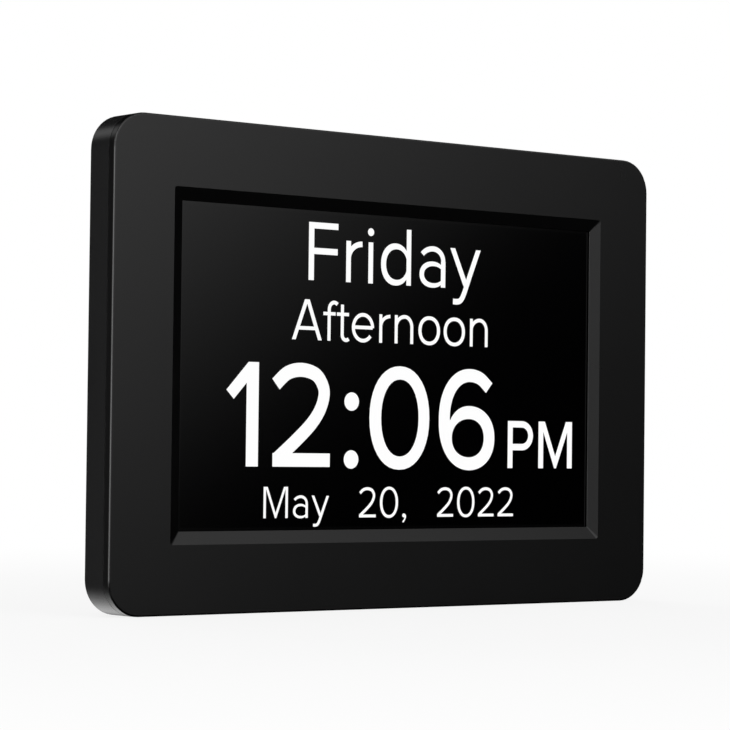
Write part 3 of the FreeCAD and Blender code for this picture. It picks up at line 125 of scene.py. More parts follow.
class ClockColours(PropertyGroup):
    """Colours of the finishes, as linear light."""

    bezel: FloatVectorProperty(
        name="Bezel", description="Satin plastic of the front bezel",
        default=(0.0011, 0.0011, 0.0012), subtype="COLOR", size=3)
    shell: FloatVectorProperty(
        name="Rear shell", description="Fine textured plastic of the rear shell",
        default=(0.0135, 0.0135, 0.0138), subtype="COLOR", size=3)
    button: FloatVectorProperty(
        name="Buttons", description="Plastic of the button caps",
        default=(0.016, 0.016, 0.017), subtype="COLOR", size=3)
    rubber: FloatVectorProperty(
        name="Rubber", description="Rubber of the pads on the leg",
        default=(0.022, 0.022, 0.022), subtype="COLOR", size=3)
    sign: FloatVectorProperty(
        name="Signs", description="Ink of the signs above the buttons",
        default=(0.50, 0.50, 0.51), subtype="COLOR", size=3)
    readout: FloatVectorProperty(
        name="Readout", description="Light of the figures on the screen",
        default=(1.0, 1.0, 1.0), subtype="COLOR", size=3)
    board: FloatVectorProperty(
        name="Circuit boards", description="Lacquer of the circuit boards",
        default=(0.010, 0.095, 0.038), subtype="COLOR", size=3)


class ClockReadout(PropertyGroup):
    """What the screen says, in the letters and figures that GLYPHS holds."""

    day: StringProperty(name="Day", description="Name of the day", default="Friday")
    part: StringProperty(name="Part of day", description="Part of the day", default="Afternoon")
    time: StringProperty(name="Time", description="Hours and minutes", default="12:06")
    half: StringProperty(name="Half", description="Half of the day", default="PM")
    date: StringProperty(name="Date", description="Month, day and year", default="May 20, 2022")


class ClockStudio(PropertyGroup):
    """The floor and the lamps."""

    floor_radius: FloatProperty(
        name="Floor radius", description="Radius of the pale floor",
        default=0.6, subtype="DISTANCE", unit="LENGTH")
    key_power: FloatProperty(
        name="Key lamp", description="Power of the large lamp in front of the clock",
        default=2.0, subtype="POWER", unit="POWER")
    back_power: FloatProperty(
        name="Back lamp", description="Power of the softer lamp behind the clock",
        default=2.5, subtype="POWER", unit="POWER")


def settings():
    """The four groups of settings, by short names."""
    scene = bpy.context.scene
    return scene.clock_sizes, scene.clock_colours, scene.clock_readout, scene.clock_studio


# --------------------------------------------------------------------------- meshes


def add_piece(name, mesh, material, body):
    """Puts a finished mesh in the scene as a piece that rides on a body."""
    mesh.materials.append(material)
    piece = bpy.data.objects.new(name, mesh)
    bpy.context.collection.objects.link(piece)
    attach(piece, body)
    return piece


SHARPEST_MITRE = 0.5


def ribbon(points, half_width, level_start=False, level_end=False):
    """Quads along a line of points. A level end is cut along X, any other end square."""
    line = [Vector(point) for point in points]
    last = len(line) - 1
    runs = [(end - start).normalized() for start, end in zip(line, line[1:])]
    closed = (line[0] - line[last]).length < half_width / 100
    rails = []
    for index, point in enumerate(line):
        before = runs[index - 1] if index or closed else runs[0]
        after = runs[index % last] if index < last or closed else runs[-1]
        along = (before + after).normalized()
        side = Vector((-along.y, along.x))
        reach = half_width / max(along.dot(after), SHARPEST_MITRE)
        if (level_start and index == 0) or (level_end and index == last):
            side, reach = Vector((-math.copysign(1.0, along.y), 0.0)), half_width / abs(along.y)
        rails.append((point + side * reach, point - side * reach))
    return [(a, b, c, d) for (a, b), (d, c) in zip(rails, rails[1:])]


def arc(centre, radii, start, end, steps=16):
    """Points along part of an ellipse, its angles in degrees."""
    angles = [math.radians(start + (end - start) * step / steps) for step in range(steps + 1)]
    return [(centre[0] + radii[0] * math.cos(a), centre[1] + radii[1] * math.sin(a)) for a in angles]


def smooth_line(*knots):
    """Points on a smooth line through the knots, eight to a span."""
    ends = [knots[0], *knots, knots[-1]]
    points, steps = [], 8
    for before, start, end, after in zip(ends, ends[1:], ends[2:], ends[3:]):
        for step in range(steps):
            t = step / steps
            points.append(tuple(0.5 * (2 * b + (c - a) * t + (2 * a - 5 * b + 4 * c - d) * t * t
                                       + (3 * b - a - 3 * c + d) * t ** 3)
                                for a, b, c, d in zip(before, start, end, after)))
    return points + [knots[-1]]


def disc(centre, radius):
    """A round face."""
    return [arc(centre, (radius, radius), 0, 360, steps=32)[:-1]]


def flat_mesh(name, faces, thickness, to_frame):
    """One thin plate from flat faces, each counter-clockwise, that may overlap.

    to_frame turns a flat point and a height above the plate's foot into a place.
    """
    points, polygons = [], []
    for face in faces:
        polygons.append(list(range(len(points), len(points) + len(face))))
        points.extend(face)
    whole_hull, merge = 0, 1e-6
    flat, _, cells, _, _, sources = delaunay_2d_cdt(points, [], polygons, whole_hull, merge)
    shape = bmesh.new()
    corners = [shape.verts.new(to_frame(point, 0.0)) for point in flat]
    for cell, source in zip(cells, sources):
        if source:
            shape.faces.new([corners[index] for index in cell])
    bmesh.ops.delete(shape, geom=[v for v in shape.verts if not v.link_faces], context="VERTS")
    raised = bmesh.ops.extrude_face_region(shape, geom=list(shape.faces))
    shift = to_frame(Vector((0, 0)), thickness) - to_frame(Vector((0, 0)), 0.0)
    moved = [item for item in raised["geom"] if isinstance(item, bmesh.types.BMVert)]
    bmesh.ops.translate(shape, verts=moved, vec=shift)
    bmesh.ops.recalc_face_normals(shape, faces=shape.faces)
    bmesh.ops.dissolve_limit(shape, angle_limit=math.radians(0.5), verts=shape.verts,
                             edges=shape.edges)
    mesh = bpy.data.meshes.new(name)
    shape.to_mesh(mesh)
    shape.free()
    return mesh


# --------------------------------------------------------------------------- glyphs
# The capitals of a line are 1 high, and h is half the width of its pen. Each glyph gives its
# width and its faces, which may overlap.

X_HEIGHT = 0.719
OVERSHOOT = 0.012
ROUND_TOP = X_HEIGHT + OVERSHOOT
FULLNESS = 2.13


def oval(centre, radii, start=0, end=360):
    """Points along part of an oval that is a little fuller at its corners than an ellipse."""
    def full(share):
        return math.copysign(abs(share) ** (2 / FULLNESS), share)

    return [(centre[0] + radii[0] * full(x), centre[1] + radii[1] * full(z))
            for x, z in arc((0.0, 0.0), (1.0, 1.0), start, end, steps=40)]


def band(outside, inside):
    """Quads between two lines of as many points, which both run counter-clockwise."""
    return [(a, b, c, d) for a, b, c, d in zip(outside, outside[1:], inside[1:], inside)]


def bowl(h, left, right, low=-OVERSHOOT, high=ROUND_TOP, pens=(1.0, 1.0, 1.0)):
    """A closed ring. pens says how many pens its left side, its right side and its top are thick."""
    at_left, at_right, level = pens
    middle, across, up = (low + high) / 2, (right - left) / 2, (high - low) / 2
    shift = h * (at_left - at_right)
    inner = (across - h * (at_left + at_right), up - 2 * h * level)
    return band(oval((left + across, middle), (across, up)),
                oval((left + across + shift, middle), inner))


def stem(x, low, high, h):
    """An upright stroke."""
    return ribbon([(x, low), (x, high)], h)


def bar(z, left, right, h):
    """A level stroke."""
    return ribbon([(left, z), (right, z)], h)


def cross_bar(h):
    """The bar through an f or a t."""
    return bar(0.672, 0, 0.38, h * 0.9)


def slope(start, end, h):
    """A slanted stroke whose ends are cut level."""
    return ribbon([start, end], h, level_start=True, level_end=True)


def glyph_F(h):
    """A stem with two arms."""
    width, trunk, arm = 0.635, h * 1.12, h * 1.06
    return width, (stem(trunk, 0, 1, trunk) + bar(1 - arm, 0, width, arm)
                   + bar(0.506, 0, width - 0.01, arm))


def glyph_r(h):
    """A stem with a quarter arch."""
    width, spring, drop = 0.353, 0.40, 0.045
    arch = arc((width, spring), (width - h, X_HEIGHT - drop - spring), 180, 90)
    return width, stem(h, 0, X_HEIGHT, h) + ribbon(arch, h * 0.94)


def glyph_i(h):
    """A stem under a round dot."""
    return 2 * h, stem(h, 0, X_HEIGHT, h) + disc((h, 0.898), h * 1.34)


def glyph_d(h):
    """A bowl against a tall stem."""
    width, top = 0.689, 0.988
    return width, (stem(width - h, 0, top, h)
                   + bowl(h, 0.012, width - h * 0.5, pens=(1.1, 0.6, 1.0)))


def glyph_a(h):
    """A bowl under a hood that comes down as a stem."""
    width, shoulder, crown, bowl_top = 0.617, 0.46, 0.33, 0.455
    rise = ROUND_TOP - h - shoulder
    hood = arc((crown, shoulder), (width - h - crown, rise), 0, 90)
    hood += arc((crown, shoulder), (0.29, rise), 90, 148)[1:]
    return width, (stem(width - h, 0, shoulder, h) + ribbon(hood, h * 0.92)
                   + bowl(h, 0.022, width - h * 0.1, high=bowl_top, pens=(1.0, 0.45, 0.80)))


def glyph_y(h):
    """A short slope that meets a long one, whose foot curls into a tail."""
    width, start, fork = 0.738, (0.071, X_HEIGHT), (0.390, 0.042)
    tail = smooth_line((0.674, X_HEIGHT - 0.01), (0.484, 0.255), (0.350, -0.075), (0.276, -0.20),
                       (0.198, -0.236), (0.090, -0.236))
    return width, slope(start, fork, h) + ribbon(tail, h, level_start=True)


def glyph_A(h):
    """Two slopes and a bar."""
    width, foot, leg, inset = 0.94, 0.066, h * 1.14, 0.17
    return width, (slope((foot, 0), (0.454, 1), leg) + slope((width - foot, 0), (0.486, 1), leg)
                   + bar(0.289, inset, width - inset, h * 0.95))


def glyph_f(h):
    """A stem with a hooked top and a bar."""
    hook = [(0.181, 0)] + arc((0.335, 0.775), (0.154, 0.180), 180, 48)
    return 0.466, ribbon(hook, h) + cross_bar(h)


def glyph_t(h):
    """A stem with a curved foot and a bar."""
    foot = [(0.172, 0.914)] + arc((0.294, 0.160), (0.122, 0.130), 180, 312)
    return 0.405, ribbon(foot, h) + cross_bar(h)


def glyph_e(h):
    """An open ring with a bar."""
    width = 0.707
    centre = (width / 2, X_HEIGHT / 2)
    loop = arc(centre, (width / 2 - h, X_HEIGHT / 2 + OVERSHOOT - h), 0, 321, steps=40)
    return width, ribbon(loop, h) + bar(0.366, h, width - h, h * 0.95)


def glyph_n(h):
    """A stem and an arch that comes down beside it."""
    width, spring, crown = 0.604, 0.42, 0.325
    rise = ROUND_TOP - h - spring
    arch = arc((crown, spring), (crown - h, rise), 180, 90)
    arch += arc((crown, spring), (width - h - crown, rise), 90, 0)[1:]
    return width, stem(h, 0, X_HEIGHT, h) + ribbon(arch + [(width - h, 0)], h)


def glyph_o(h):
    """A ring."""
    width = 0.715
    return width, bowl(h, 0, width, pens=(1.08, 1.08, 1.0))


def glyph_1(h):
    """A stem with a flag."""
    width, trunk, pen = 0.384, h * 1.08, h * 0.66
    flag = [(0.049 + pen, 0.686 - pen), (width, 0.951), (width, 1), (0.262, 1),
            (0.049 - pen, 0.686 + pen)]
    return width, [*stem(width - trunk, 0, 0.96, trunk), flag]


def glyph_2(h):
    """A sweep that comes down to a level foot."""
    width = 0.708
    sweep = smooth_line((0.046, 0.795), (0.185, 0.906), (0.355, 0.940), (0.526, 0.898), (0.615, 0.79),
                        (0.627, 0.682), (0.575, 0.544), (0.469, 0.409), (0.292, 0.253), (0.06, 0.070))
    return width, ribbon(sweep, h * 1.03) + bar(h, 0.014, width, h)


def glyph_0(h):
    """A tall ring."""
    width, low, high = 0.783, -0.0235, 1.0075
    return width, bowl(h, 0.012, width - 0.005, low, high, pens=(1.12, 1.06, 1.0))


def glyph_6(h):
    """A ring under a tall back whose tip curls over it."""
    width, low, high, thick, level = 0.741, -0.025, 1.004, h * 2.18, h * 2.0
    crown, heel, belly = (0.409, 0.495), (0.409, 0.46), (0.398, 0.301)
    rise, short, left = high - crown[1], belly[1] - low, 0.225
    back = band(oval(crown, (crown[0], rise), 90, 180) + oval(heel, (heel[0], heel[1] - low), 180, 270),
                oval(crown, (crown[0] - thick, rise - level), 90, 180)
                + oval(belly, (left, short - level), 180, 270))
    ring_right = band(oval(belly, (width - belly[0], short), -90, 90),
                      oval(belly, (width - belly[0] - thick, short - level), -90, 90))
    ring_left = band(oval(belly, (0.29, short), 90, 180), oval(belly, (left, short - level), 90, 180))
    tip = smooth_line((0.395, 0.9385), (0.47, 0.9325), (0.560, 0.900), (0.664, 0.816))
    return width, back + ring_right + ring_left + ribbon(tip, level / 2)


def glyph_colon(h):
    """Two dots."""
    radius, lower, upper = h * 1.38, 0.075, 0.644
    return 2 * radius, disc((radius, upper), radius) + disc((radius, lower), radius)


def glyph_P(h):
    """A stem with half a ring at its top."""
    width, low, straight = 0.713, 0.378, 0.40
    middle = (1 + low) / 2
    loop = [(0, 1 - h)] + arc((straight, middle), (width - straight - h, (1 - low) / 2 - h), 90, -90)
    return width, stem(h, 0, 1, h) + ribbon(loop + [(0, low + h)], h)


def glyph_M(h):
    """Two stems and a pointed V between them."""
    width, top, tip, half = 0.965, 0.113, 0.026, h * 0.96
    centre = width / 2
    run = centre - tip - (top - half)
    fork = 1 - (centre - top) / run
    left = [(top - half, 1), (centre - tip, 0), (centre + tip, 0), (centre + half, fork), (top + half, 1)]
    right = [(width - x, z) for x, z in reversed(left)]
    return width, [*stem(h, 0, 1, h), *stem(width - h, 0, 1, h), left, right]


def glyph_comma(h):
    """A dot with a tail."""
    tail = smooth_line((0.105, 0.085), (0.130, 0.02), (0.092, -0.085), (0.020, -0.165))
    return 0.19, disc((0.064, 0.056), h * 1.40) + ribbon(tail, h * 0.60)


GLYPHS = {
    # each glyph with the space before it and the space after it
    "F": (glyph_F, 0.10, 0.080), "r": (glyph_r, 0.10, 0.038), "i": (glyph_i, 0.10, 0.10),
    "d": (glyph_d, 0.068, 0.10), "a": (glyph_a, 0.074, 0.09), "y": (glyph_y, 0.006, 0.0),
    "A": (glyph_A, 0.01, 0.01), "f": (glyph_f, 0.024, -0.03), "t": (glyph_t, -0.013, 0.017),
    "e": (glyph_e, 0.055, 0.069), "n": (glyph_n, 0.109, 0.110), "o": (glyph_o, 0.061, 0.061),
    "1": (glyph_1, 0.0, 0.10), "2": (glyph_2, 0.059, 0.077), "0": (glyph_0, 0.05, 0.05),
    "6": (glyph_6, 0.070, 0.05), ":": (glyph_colon, 0.096, 0.072), "P": (glyph_P, 0.10, 0.058),
    "M": (glyph_M, 0.10, 0.08), ",": (glyph_comma, 0.098, 0.075),
}


def set_line(text, left, baseline, height, weight, tracking, word_space):
    """The faces of one line of the readout, in metres on the glass.

    left is where its ink starts and weight is the width of its pen. tracking is the space
    added between glyphs and word_space the width of a space, both in heights of a capital.
    """
    half_pen = weight / 2 / height
    faces, place = [], None
    for letter in text:
        if letter == " ":
            place = (place or 0.0) + word_space
            continue
        if letter not in GLYPHS:
            raise ValueError(f"the readout has no glyph for {letter!r}")
        glyph, before, after = GLYPHS[letter]
        width, shapes = glyph(half_pen)
        place = 0.0 if place is None else place + before + tracking
        for shape in shapes:
            faces.append([Vector((left + (place + x) * height, baseline + z * height)) for x, z in shape])
        place += width + after
    return faces


# --------------------------------------------------------------------------- shader nodes


def add_node(tree, kind, inputs=None, **settings_of_node):
    """A node with its settings and its inputs, each a socket to link or a plain value."""
    node = tree.nodes.new(kind)
    for label, value in settings_of_node.items():
        setattr(node, label, value)
    for label, value in (inputs or {}).items():
        if isinstance(value, bpy.types.NodeSocket):
            tree.links.new(value, node.inputs[label])
        else:
            node.inputs[label].default_value = value
    return node


def object_point(tree):
    """Where a point of the surface is, in its object's own space."""
    return add_node(tree, "ShaderNodeTexCoord").outputs["Object"]


def apart(tree, vector):
    """The parts X, Y and Z of a vector, by name."""
    return add_node(tree, "ShaderNodeSeparateXYZ", {0: vector}).outputs


def compute(tree, operation, *parts, clamp=False):
    """The outcome of one operation on sockets and plain numbers."""
    return add_node(tree, "ShaderNodeMath", dict(enumerate(parts)), operation=operation,
                    use_clamp=clamp).outputs[0]


def dot(tree, first, second):
    """How far one direction runs along another."""
    return add_node(tree, "ShaderNodeVectorMath", {0: first, 1: second},
                    operation="DOT_PRODUCT").outputs["Value"]


def ramp(tree, value, low, high, start=0.0, shape="LINEAR"):
    """A share that goes from a start to 1 while a value goes from low to high."""
    return add_node(tree, "ShaderNodeMapRange",
                    {"Value": value, "From Min": low, "From Max": high, "To Min": start, "To Max": 1.0},
                    interpolation_type=shape).outputs[0]


def noise(tree, scale, detail, place=None, **more):
    """Noise over a surface, from 0 to 1."""
    return add_node(tree, "ShaderNodeTexNoise",
                    {"Vector": place or object_point(tree), "Scale": scale, "Detail": detail, **more}
                    ).outputs["Fac"]


def new_group(name, inputs, outputs):
    """An empty shader group. inputs maps names to defaults, outputs maps names to kinds."""
    group = bpy.data.node_groups.new(name, "ShaderNodeTree")
    for label, default in inputs.items():
        kind = "NodeSocketVector" if isinstance(default, tuple) else "NodeSocketFloat"
        group.interface.new_socket(label, in_out="INPUT", socket_type=kind).default_value = default
    for label, kind in outputs.items():
        group.interface.new_socket(label, in_out="OUTPUT", socket_type=kind)
    return group, group.nodes.new("NodeGroupInput").outputs, group.nodes.new("NodeGroupOutput").inputs


def grain_group():
    """Fine spark-eroded grain of moulded plastic: a height and a slow variation."""
    group, given, out = new_group("Moulded grain", {"Scale": 2500.0, "Depth": 1.0},
                                  {"Height": "NodeSocketFloat", "Variation": "NodeSocketFloat"})
    pits = noise(group, given["Scale"], 2.0, Roughness=0.6)
    group.links.new(compute(group, "MULTIPLY", pits, given["Depth"]), out["Height"])
    group.links.new(noise(group, 22.0, 3.0), out["Variation"])
    return group


def edge_group():
    """The normal of a surface whose sharp edges are slightly rounded, behind a depth."""
    group, given, out = new_group("Soft edges", {"Width": 0.0002, "Behind": -1.0},
                                  {"Normal": "NodeSocketVector"})
    depth = apart(group, object_point(group))["Y"]
    behind = compute(group, "GREATER_THAN", depth, given["Behind"])
    width = compute(group, "MULTIPLY", behind, given["Width"])
    rounded = add_node(group, "ShaderNodeBevel", {"Radius": width}, samples=6)
    group.links.new(rounded.outputs["Normal"], out["Normal"])
    return group


def wear_group():
    """A mask of rubbed edges: where the rounded normal leaves the face's own."""
    group, given, out = new_group("Rubbed edges", {"Width": 0.0004, "Amount": 1.0},
                                  {"Mask": "NodeSocketFloat"})
    rounded = add_node(group, "ShaderNodeBevel", {"Radius": given["Width"]}, samples=4)
    flat = add_node(group, "ShaderNodeNewGeometry").outputs["Normal"]
    edge = ramp(group, dot(group, rounded.outputs["Normal"], flat), 0.999, 0.94)
    broken = ramp(group, noise(group, 140.0, 4.0), 0.42, 0.62)
    both = compute(group, "MULTIPLY", edge, broken)
    group.links.new(compute(group, "MULTIPLY", both, given["Amount"], clamp=True), out["Mask"])
    return group


def dust_group():
    """A mask of dust that has settled on what faces up."""
    group, given, out = new_group("Settled dust", {"Amount": 0.1}, {"Mask": "NodeSocketFloat"})
    facing = add_node(group, "ShaderNodeNewGeometry").outputs["Normal"]
    upward = ramp(group, apart(group, facing)["Z"], 0.3, 1.0)
    loose = ramp(group, noise(group, 900.0, 5.0), 0.5, 0.75)
    both = compute(group, "MULTIPLY", upward, loose)
    group.links.new(compute(group, "MULTIPLY", both, given["Amount"], clamp=True), out["Mask"])
    return group


def smudge_group():
    """Roughness that wanders where hands and cloths have been."""
    group, given, out = new_group("Handled surface", {"Roughness": 0.4, "Spread": 0.05},
                                  {"Roughness": "NodeSocketFloat"})
    centred = compute(group, "SUBTRACT", noise(group, 34.0, 5.0, Distortion=0.6), 0.5)
    spread = compute(group, "MULTIPLY", centred, given["Spread"])
    group.links.new(compute(group, "ADD", spread, given["Roughness"]), out["Roughness"])
    return group


def glow_group():
    """One soft patch of light on the surround, brightest at its middle, as a strength."""
    no_way = (0.0, 0.0, 0.0)
    group, given, out = new_group(
        "Studio glow", {"Across": no_way, "Up": no_way, "Toward": no_way, "Strength": 1.0},
        {"Light": "NodeSocketFloat"})
    way = add_node(group, "ShaderNodeTexCoord").outputs["Generated"]
    width, height = (compute(group, "POWER", dot(group, way, given[label]), 2.0)
                     for label in ("Across", "Up"))
    inside = compute(group, "SUBTRACT", 1.0, compute(group, "ADD", width, height), clamp=True)
    ahead = ramp(group, dot(group, way, given["Toward"]), -0.1, 0.1, shape="SMOOTHSTEP")
    shown = compute(group, "MULTIPLY", compute(group, "POWER", inside, 2.0), ahead)
    group.links.new(compute(group, "MULTIPLY", shown, given["Strength"]), out["Light"])
    return group


GROUP_MAKERS = {"grain": grain_group, "edges": edge_group, "wear": wear_group, "dust": dust_group,
                "smudge": smudge_group, "glow": glow_group}
made_groups = {}


def group_node(tree, key, inputs):
    """The outputs of one of the shared groups, which is made the first time that it is asked for."""
    if key not in made_groups:
        made_groups[key] = GROUP_MAKERS[key]()
    return add_node(tree, "ShaderNodeGroup", inputs, node_tree=made_groups[key]).outputs


# --------------------------------------------------------------------------- finishes

DUST = (0.16, 0.155, 0.15)


def new_finish(name, **plain):
    """A material with its Principled shader. plain sets the shader's own sockets."""
    material = bpy.data.materials.new(name)
    material.use_nodes = True
    tree = material.node_tree
    shader = tree.nodes["Principled BSDF"]
    for label, value in plain.items():
        shader.inputs[label.replace("_", " ")].default_value = value
    return material, tree, shader


def scaled(colour, factor):
    """A colour made darker or lighter."""
    return tuple(part * factor for part in colour[:3])


def blend_colour(tree, mask, first, second):
    """A colour that goes from first to second as the mask rises."""
    first, second = (colour if isinstance(colour, bpy.types.NodeSocket) else (*colour[:3], 1.0)
                     for colour in (first, second))
    return add_node(tree, "ShaderNodeMix", {"Factor": mask, 6: first, 7: second},
                    data_type="RGBA").outputs[2]


def add_bump(tree, shader, height, distance, edge=0.0, behind=-1.0):
    """Fine relief, and where a width is given, softened edges behind a depth along Y."""
    bump = add_node(tree, "ShaderNodeBump", {"Height": height, "Distance": distance})
    if edge:
        rounded = group_node(tree, "edges", {"Width": edge, "Behind": behind})
        tree.links.new(rounded["Normal"], bump.inputs["Normal"])
    tree.links.new(bump.outputs["Normal"], shader.inputs["Normal"])


def dress(tree, shader, tone, roughness, spread):
    """Gives a shader its colour and a roughness that wanders by a spread."""
    gloss = group_node(tree, "smudge", {"Roughness": roughness, "Spread": spread})
    tree.links.new(gloss["Roughness"], shader.inputs["Roughness"])
    tree.links.new(tone, shader.inputs["Base Color"])


def moulded_plastic(name, colour, roughness, grain_size=0.35 * MM, grain_depth=0.004 * MM,
                    spread=0.06, wear=0.3, dust=0.05, worn=0.03, edge=0.2 * MM, behind=-1.0):
    """Moulded plastic: its grain, slightly wandering gloss, rubbed edges and a little dust."""
    material, tree, shader = new_finish(name, Specular_IOR_Level=0.5)
    grain = group_node(tree, "grain", {"Scale": 1.0 / grain_size, "Depth": 1.0})
    rubbed = group_node(tree, "wear", {"Width": 0.5 * MM, "Amount": wear})
    settled = group_node(tree, "dust", {"Amount": dust})
    tone = blend_colour(tree, grain["Variation"], scaled(colour, 0.8), scaled(colour, 1.25))
    tone = blend_colour(tree, rubbed["Mask"], tone, (worn, worn, worn))
    tone = blend_colour(tree, settled["Mask"], tone, DUST)
    dress(tree, shader, tone, roughness, spread)
    add_bump(tree, shader, grain["Height"], grain_depth, edge, behind)
    return material


def screen_glass(lit_width, lit_height):
    """The black screen: glass over a dark panel, with the faint margin round its lit area."""
    material, tree, shader = new_finish("Screen glass", Specular_IOR_Level=0.42)
    place = apart(tree, object_point(tree))
    across = compute(tree, "ABSOLUTE", place["X"])
    up = compute(tree, "ABSOLUTE", compute(tree, "SUBTRACT", place["Z"], MIDDLE_HEIGHT))
    outside = compute(tree, "MAXIMUM", compute(tree, "SUBTRACT", across, lit_width / 2),
                      compute(tree, "SUBTRACT", up, lit_height / 2))
    blur, lit, unlit = 0.05 * MM, (0.0001, 0.0001, 0.0002), (0.0014, 0.0014, 0.0015)
    tone = blend_colour(tree, ramp(tree, outside, -blur, blur), lit, unlit)
    dress(tree, shader, tone, 0.10, 0.02)
    return material


def lit_figures(colour):
    """The lit figures of the readout: a white that doesn't depend on the lamps."""
    material, tree, shader = new_finish("Lit figures", Base_Color=(0, 0, 0, 1), Roughness=0.6,
                                        Specular_IOR_Level=0.0, Emission_Strength=1.0)
    tone = blend_colour(tree, noise(tree, 60.0, 1.0), scaled(colour, 0.985), colour)
    tree.links.new(tone, shader.inputs["Emission Color"])
    return material


def bare_metal(name, colour, roughness, stretch=(1.0, 1.0, 1.0)):
    """Sheet or turned metal: drawn lines, a wandering gloss and bright rubbed edges."""
    material, tree, shader = new_finish(name, Metallic=1.0)
    drawn = add_node(tree, "ShaderNodeMapping", {"Vector": object_point(tree), "Scale": stretch})
    lines = noise(tree, 1600.0, 3.0, place=drawn.outputs[0])
    rubbed = group_node(tree, "wear", {"Width": 0.3 * MM, "Amount": 0.4})
    bright = tuple(min(1.0, part) for part in scaled(colour, 1.3))
    tone = blend_colour(tree, lines, scaled(colour, 0.8), colour)
    tone = blend_colour(tree, rubbed["Mask"], tone, bright)
    dress(tree, shader, tone, roughness, 0.12)
    add_bump(tree, shader, lines, 0.003 * MM, edge=0.12 * MM)
    return material


def lacquered_board(colour):
    """A circuit board: lacquer over faint copper tracks."""
    material, tree, shader = new_finish("Circuit board", Specular_IOR_Level=0.5)
    turned = add_node(tree, "ShaderNodeMapping", {"Vector": object_point(tree),
                                                  "Rotation": (math.pi / 2, 0.0, 0.0)})
    tracks = add_node(tree, "ShaderNodeTexBrick",
                      {"Vector": turned.outputs[0], "Scale": 240.0, "Mortar Size": 0.05,
                       "Brick Width": 1.4, "Row Height": 0.5}).outputs["Fac"]
    copper = tuple(min(1.0, part + 0.01) for part in scaled(colour, 1.8))
    dress(tree, shader, blend_colour(tree, tracks, colour, copper), 0.32, 0.08)
    add_bump(tree, shader, tracks, 0.03 * MM)
    return material


def clear_guide():
    """The clear acrylic light guide with its printed dots."""
    material, tree, shader = new_finish("Light guide", Specular_IOR_Level=0.5, Roughness=0.08,
                                        Transmission_Weight=0.8)
    dots = add_node(tree, "ShaderNodeTexVoronoi", {"Vector": object_point(tree), "Scale": 900.0})
    tone = blend_colour(tree, dots.outputs["Distance"], (0.95, 0.97, 0.97), (0.82, 0.86, 0.87))
    tree.links.new(tone, shader.inputs["Base Color"])
    return material


def woven_paper(name, colour):
    """Pressed paper of the speaker's cone, or foam: fibres and pores."""
    material, tree, shader = new_finish(name, Specular_IOR_Level=0.3)
    fibres = noise(tree, 1800.0, 6.0, Roughness=0.7)
    dress(tree, shader, blend_colour(tree, fibres, scaled(colour, 0.55), colour), 0.85, 0.1)
    add_bump(tree, shader, fibres, 0.05 * MM)
    return material


def printed_ink(colour):
    """Ink of a pad print: a little uneven and slightly matt."""
    material, tree, shader = new_finish("Sign ink", Specular_IOR_Level=0.4)
    cover = noise(tree, 1500.0, 4.0)
    dress(tree, shader, blend_colour(tree, cover, scaled(colour, 0.8), colour), 0.55, 0.1)
    add_bump(tree, shader, cover, 0.004 * MM)
    return material


finished = set()


def finish(material, slot, nodes=None):
    """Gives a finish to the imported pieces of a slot, or only to those that are named."""
    chosen = [node for node, its_slot in SLOT_OF.items()
              if its_slot == slot and (not nodes or node in nodes)]
    if not chosen:
        raise RuntimeError(f"no packed piece for {material.name}")
    for node in chosen:
        frame["nodes"][node].material_slots[0].material = material
        finished.add(node)


# --------------------------------------------------------------------------- case


class CLOCK_OT_build_bezel(Operator):
    """Finish the front bezel in smooth satin plastic"""

    bl_idname = "clock.build_bezel"
    bl_label = "Front bezel"

    def execute(self, context):
        sizes, colours, _, _ = settings()
        satin = moulded_plastic("Bezel plastic", tuple(colours.bezel), 0.28, grain_size=0.4 * MM,
                                grain_depth=0.0015 * MM, spread=0.03, wear=0.0, dust=0.0,
                                edge=sizes.bezel_edge)
        finish(satin, "case_plastic", nodes=["front_bezel"])
        return {"FINISHED"}


class CLOCK_OT_build_shell(Operator):
    """Finish the rear shell in finely textured plastic"""

    bl_idname = "clock.build_shell"
    bl_label = "Rear shell"

    def execute(self, context):
        sizes, colours, _, _ = settings()
        clear_of_parting = 0.5 * MM
        textured = moulded_plastic("Case plastic", tuple(colours.shell), 0.26, grain_size=0.30 * MM,
                                   grain_depth=0.008 * MM, wear=0.1, edge=sizes.case_edge,
                                   behind=PARTING + clear_of_parting)
        finish(textured, "case_plastic", nodes=["rear_shell"])
        return {"FINISHED"}


class CLOCK_OT_build_leg(Operator):
    """Finish the fold-out leg and its pin, and mould its ribbed rubber pads"""

    bl_idname = "clock.build_leg"
    bl_label = "Fold-out leg"

    def execute(self, context):
        sizes, colours, _, _ = settings()
        textured = moulded_plastic("Leg plastic", tuple(colours.shell), 0.36, grain_size=0.35 * MM,
                                   grain_depth=0.012 * MM, edge=sizes.case_edge)
        finish(textured, "case_plastic", nodes=["stand_leg"])
        drawn = bare_metal("Pin steel", (0.46, 0.46, 0.47), 0.2, stretch=(14.0, 1.0, 1.0))
        finish(drawn, "pin_steel")
        rubber = moulded_plastic("Pad rubber", tuple(colours.rubber), 0.72, grain_size=0.4 * MM,
                                 grain_depth=0.02 * MM, wear=0.0, edge=0.0)
        finish(rubber, "pad_rubber")
        mesh = ribbed_pads(sizes.pad_rib, sizes.pad_groove)
        pads = add_piece("ribbed_leg_pads", mesh, rubber, "leg")
        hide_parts("leg_pads")
        return {"FINISHED"}


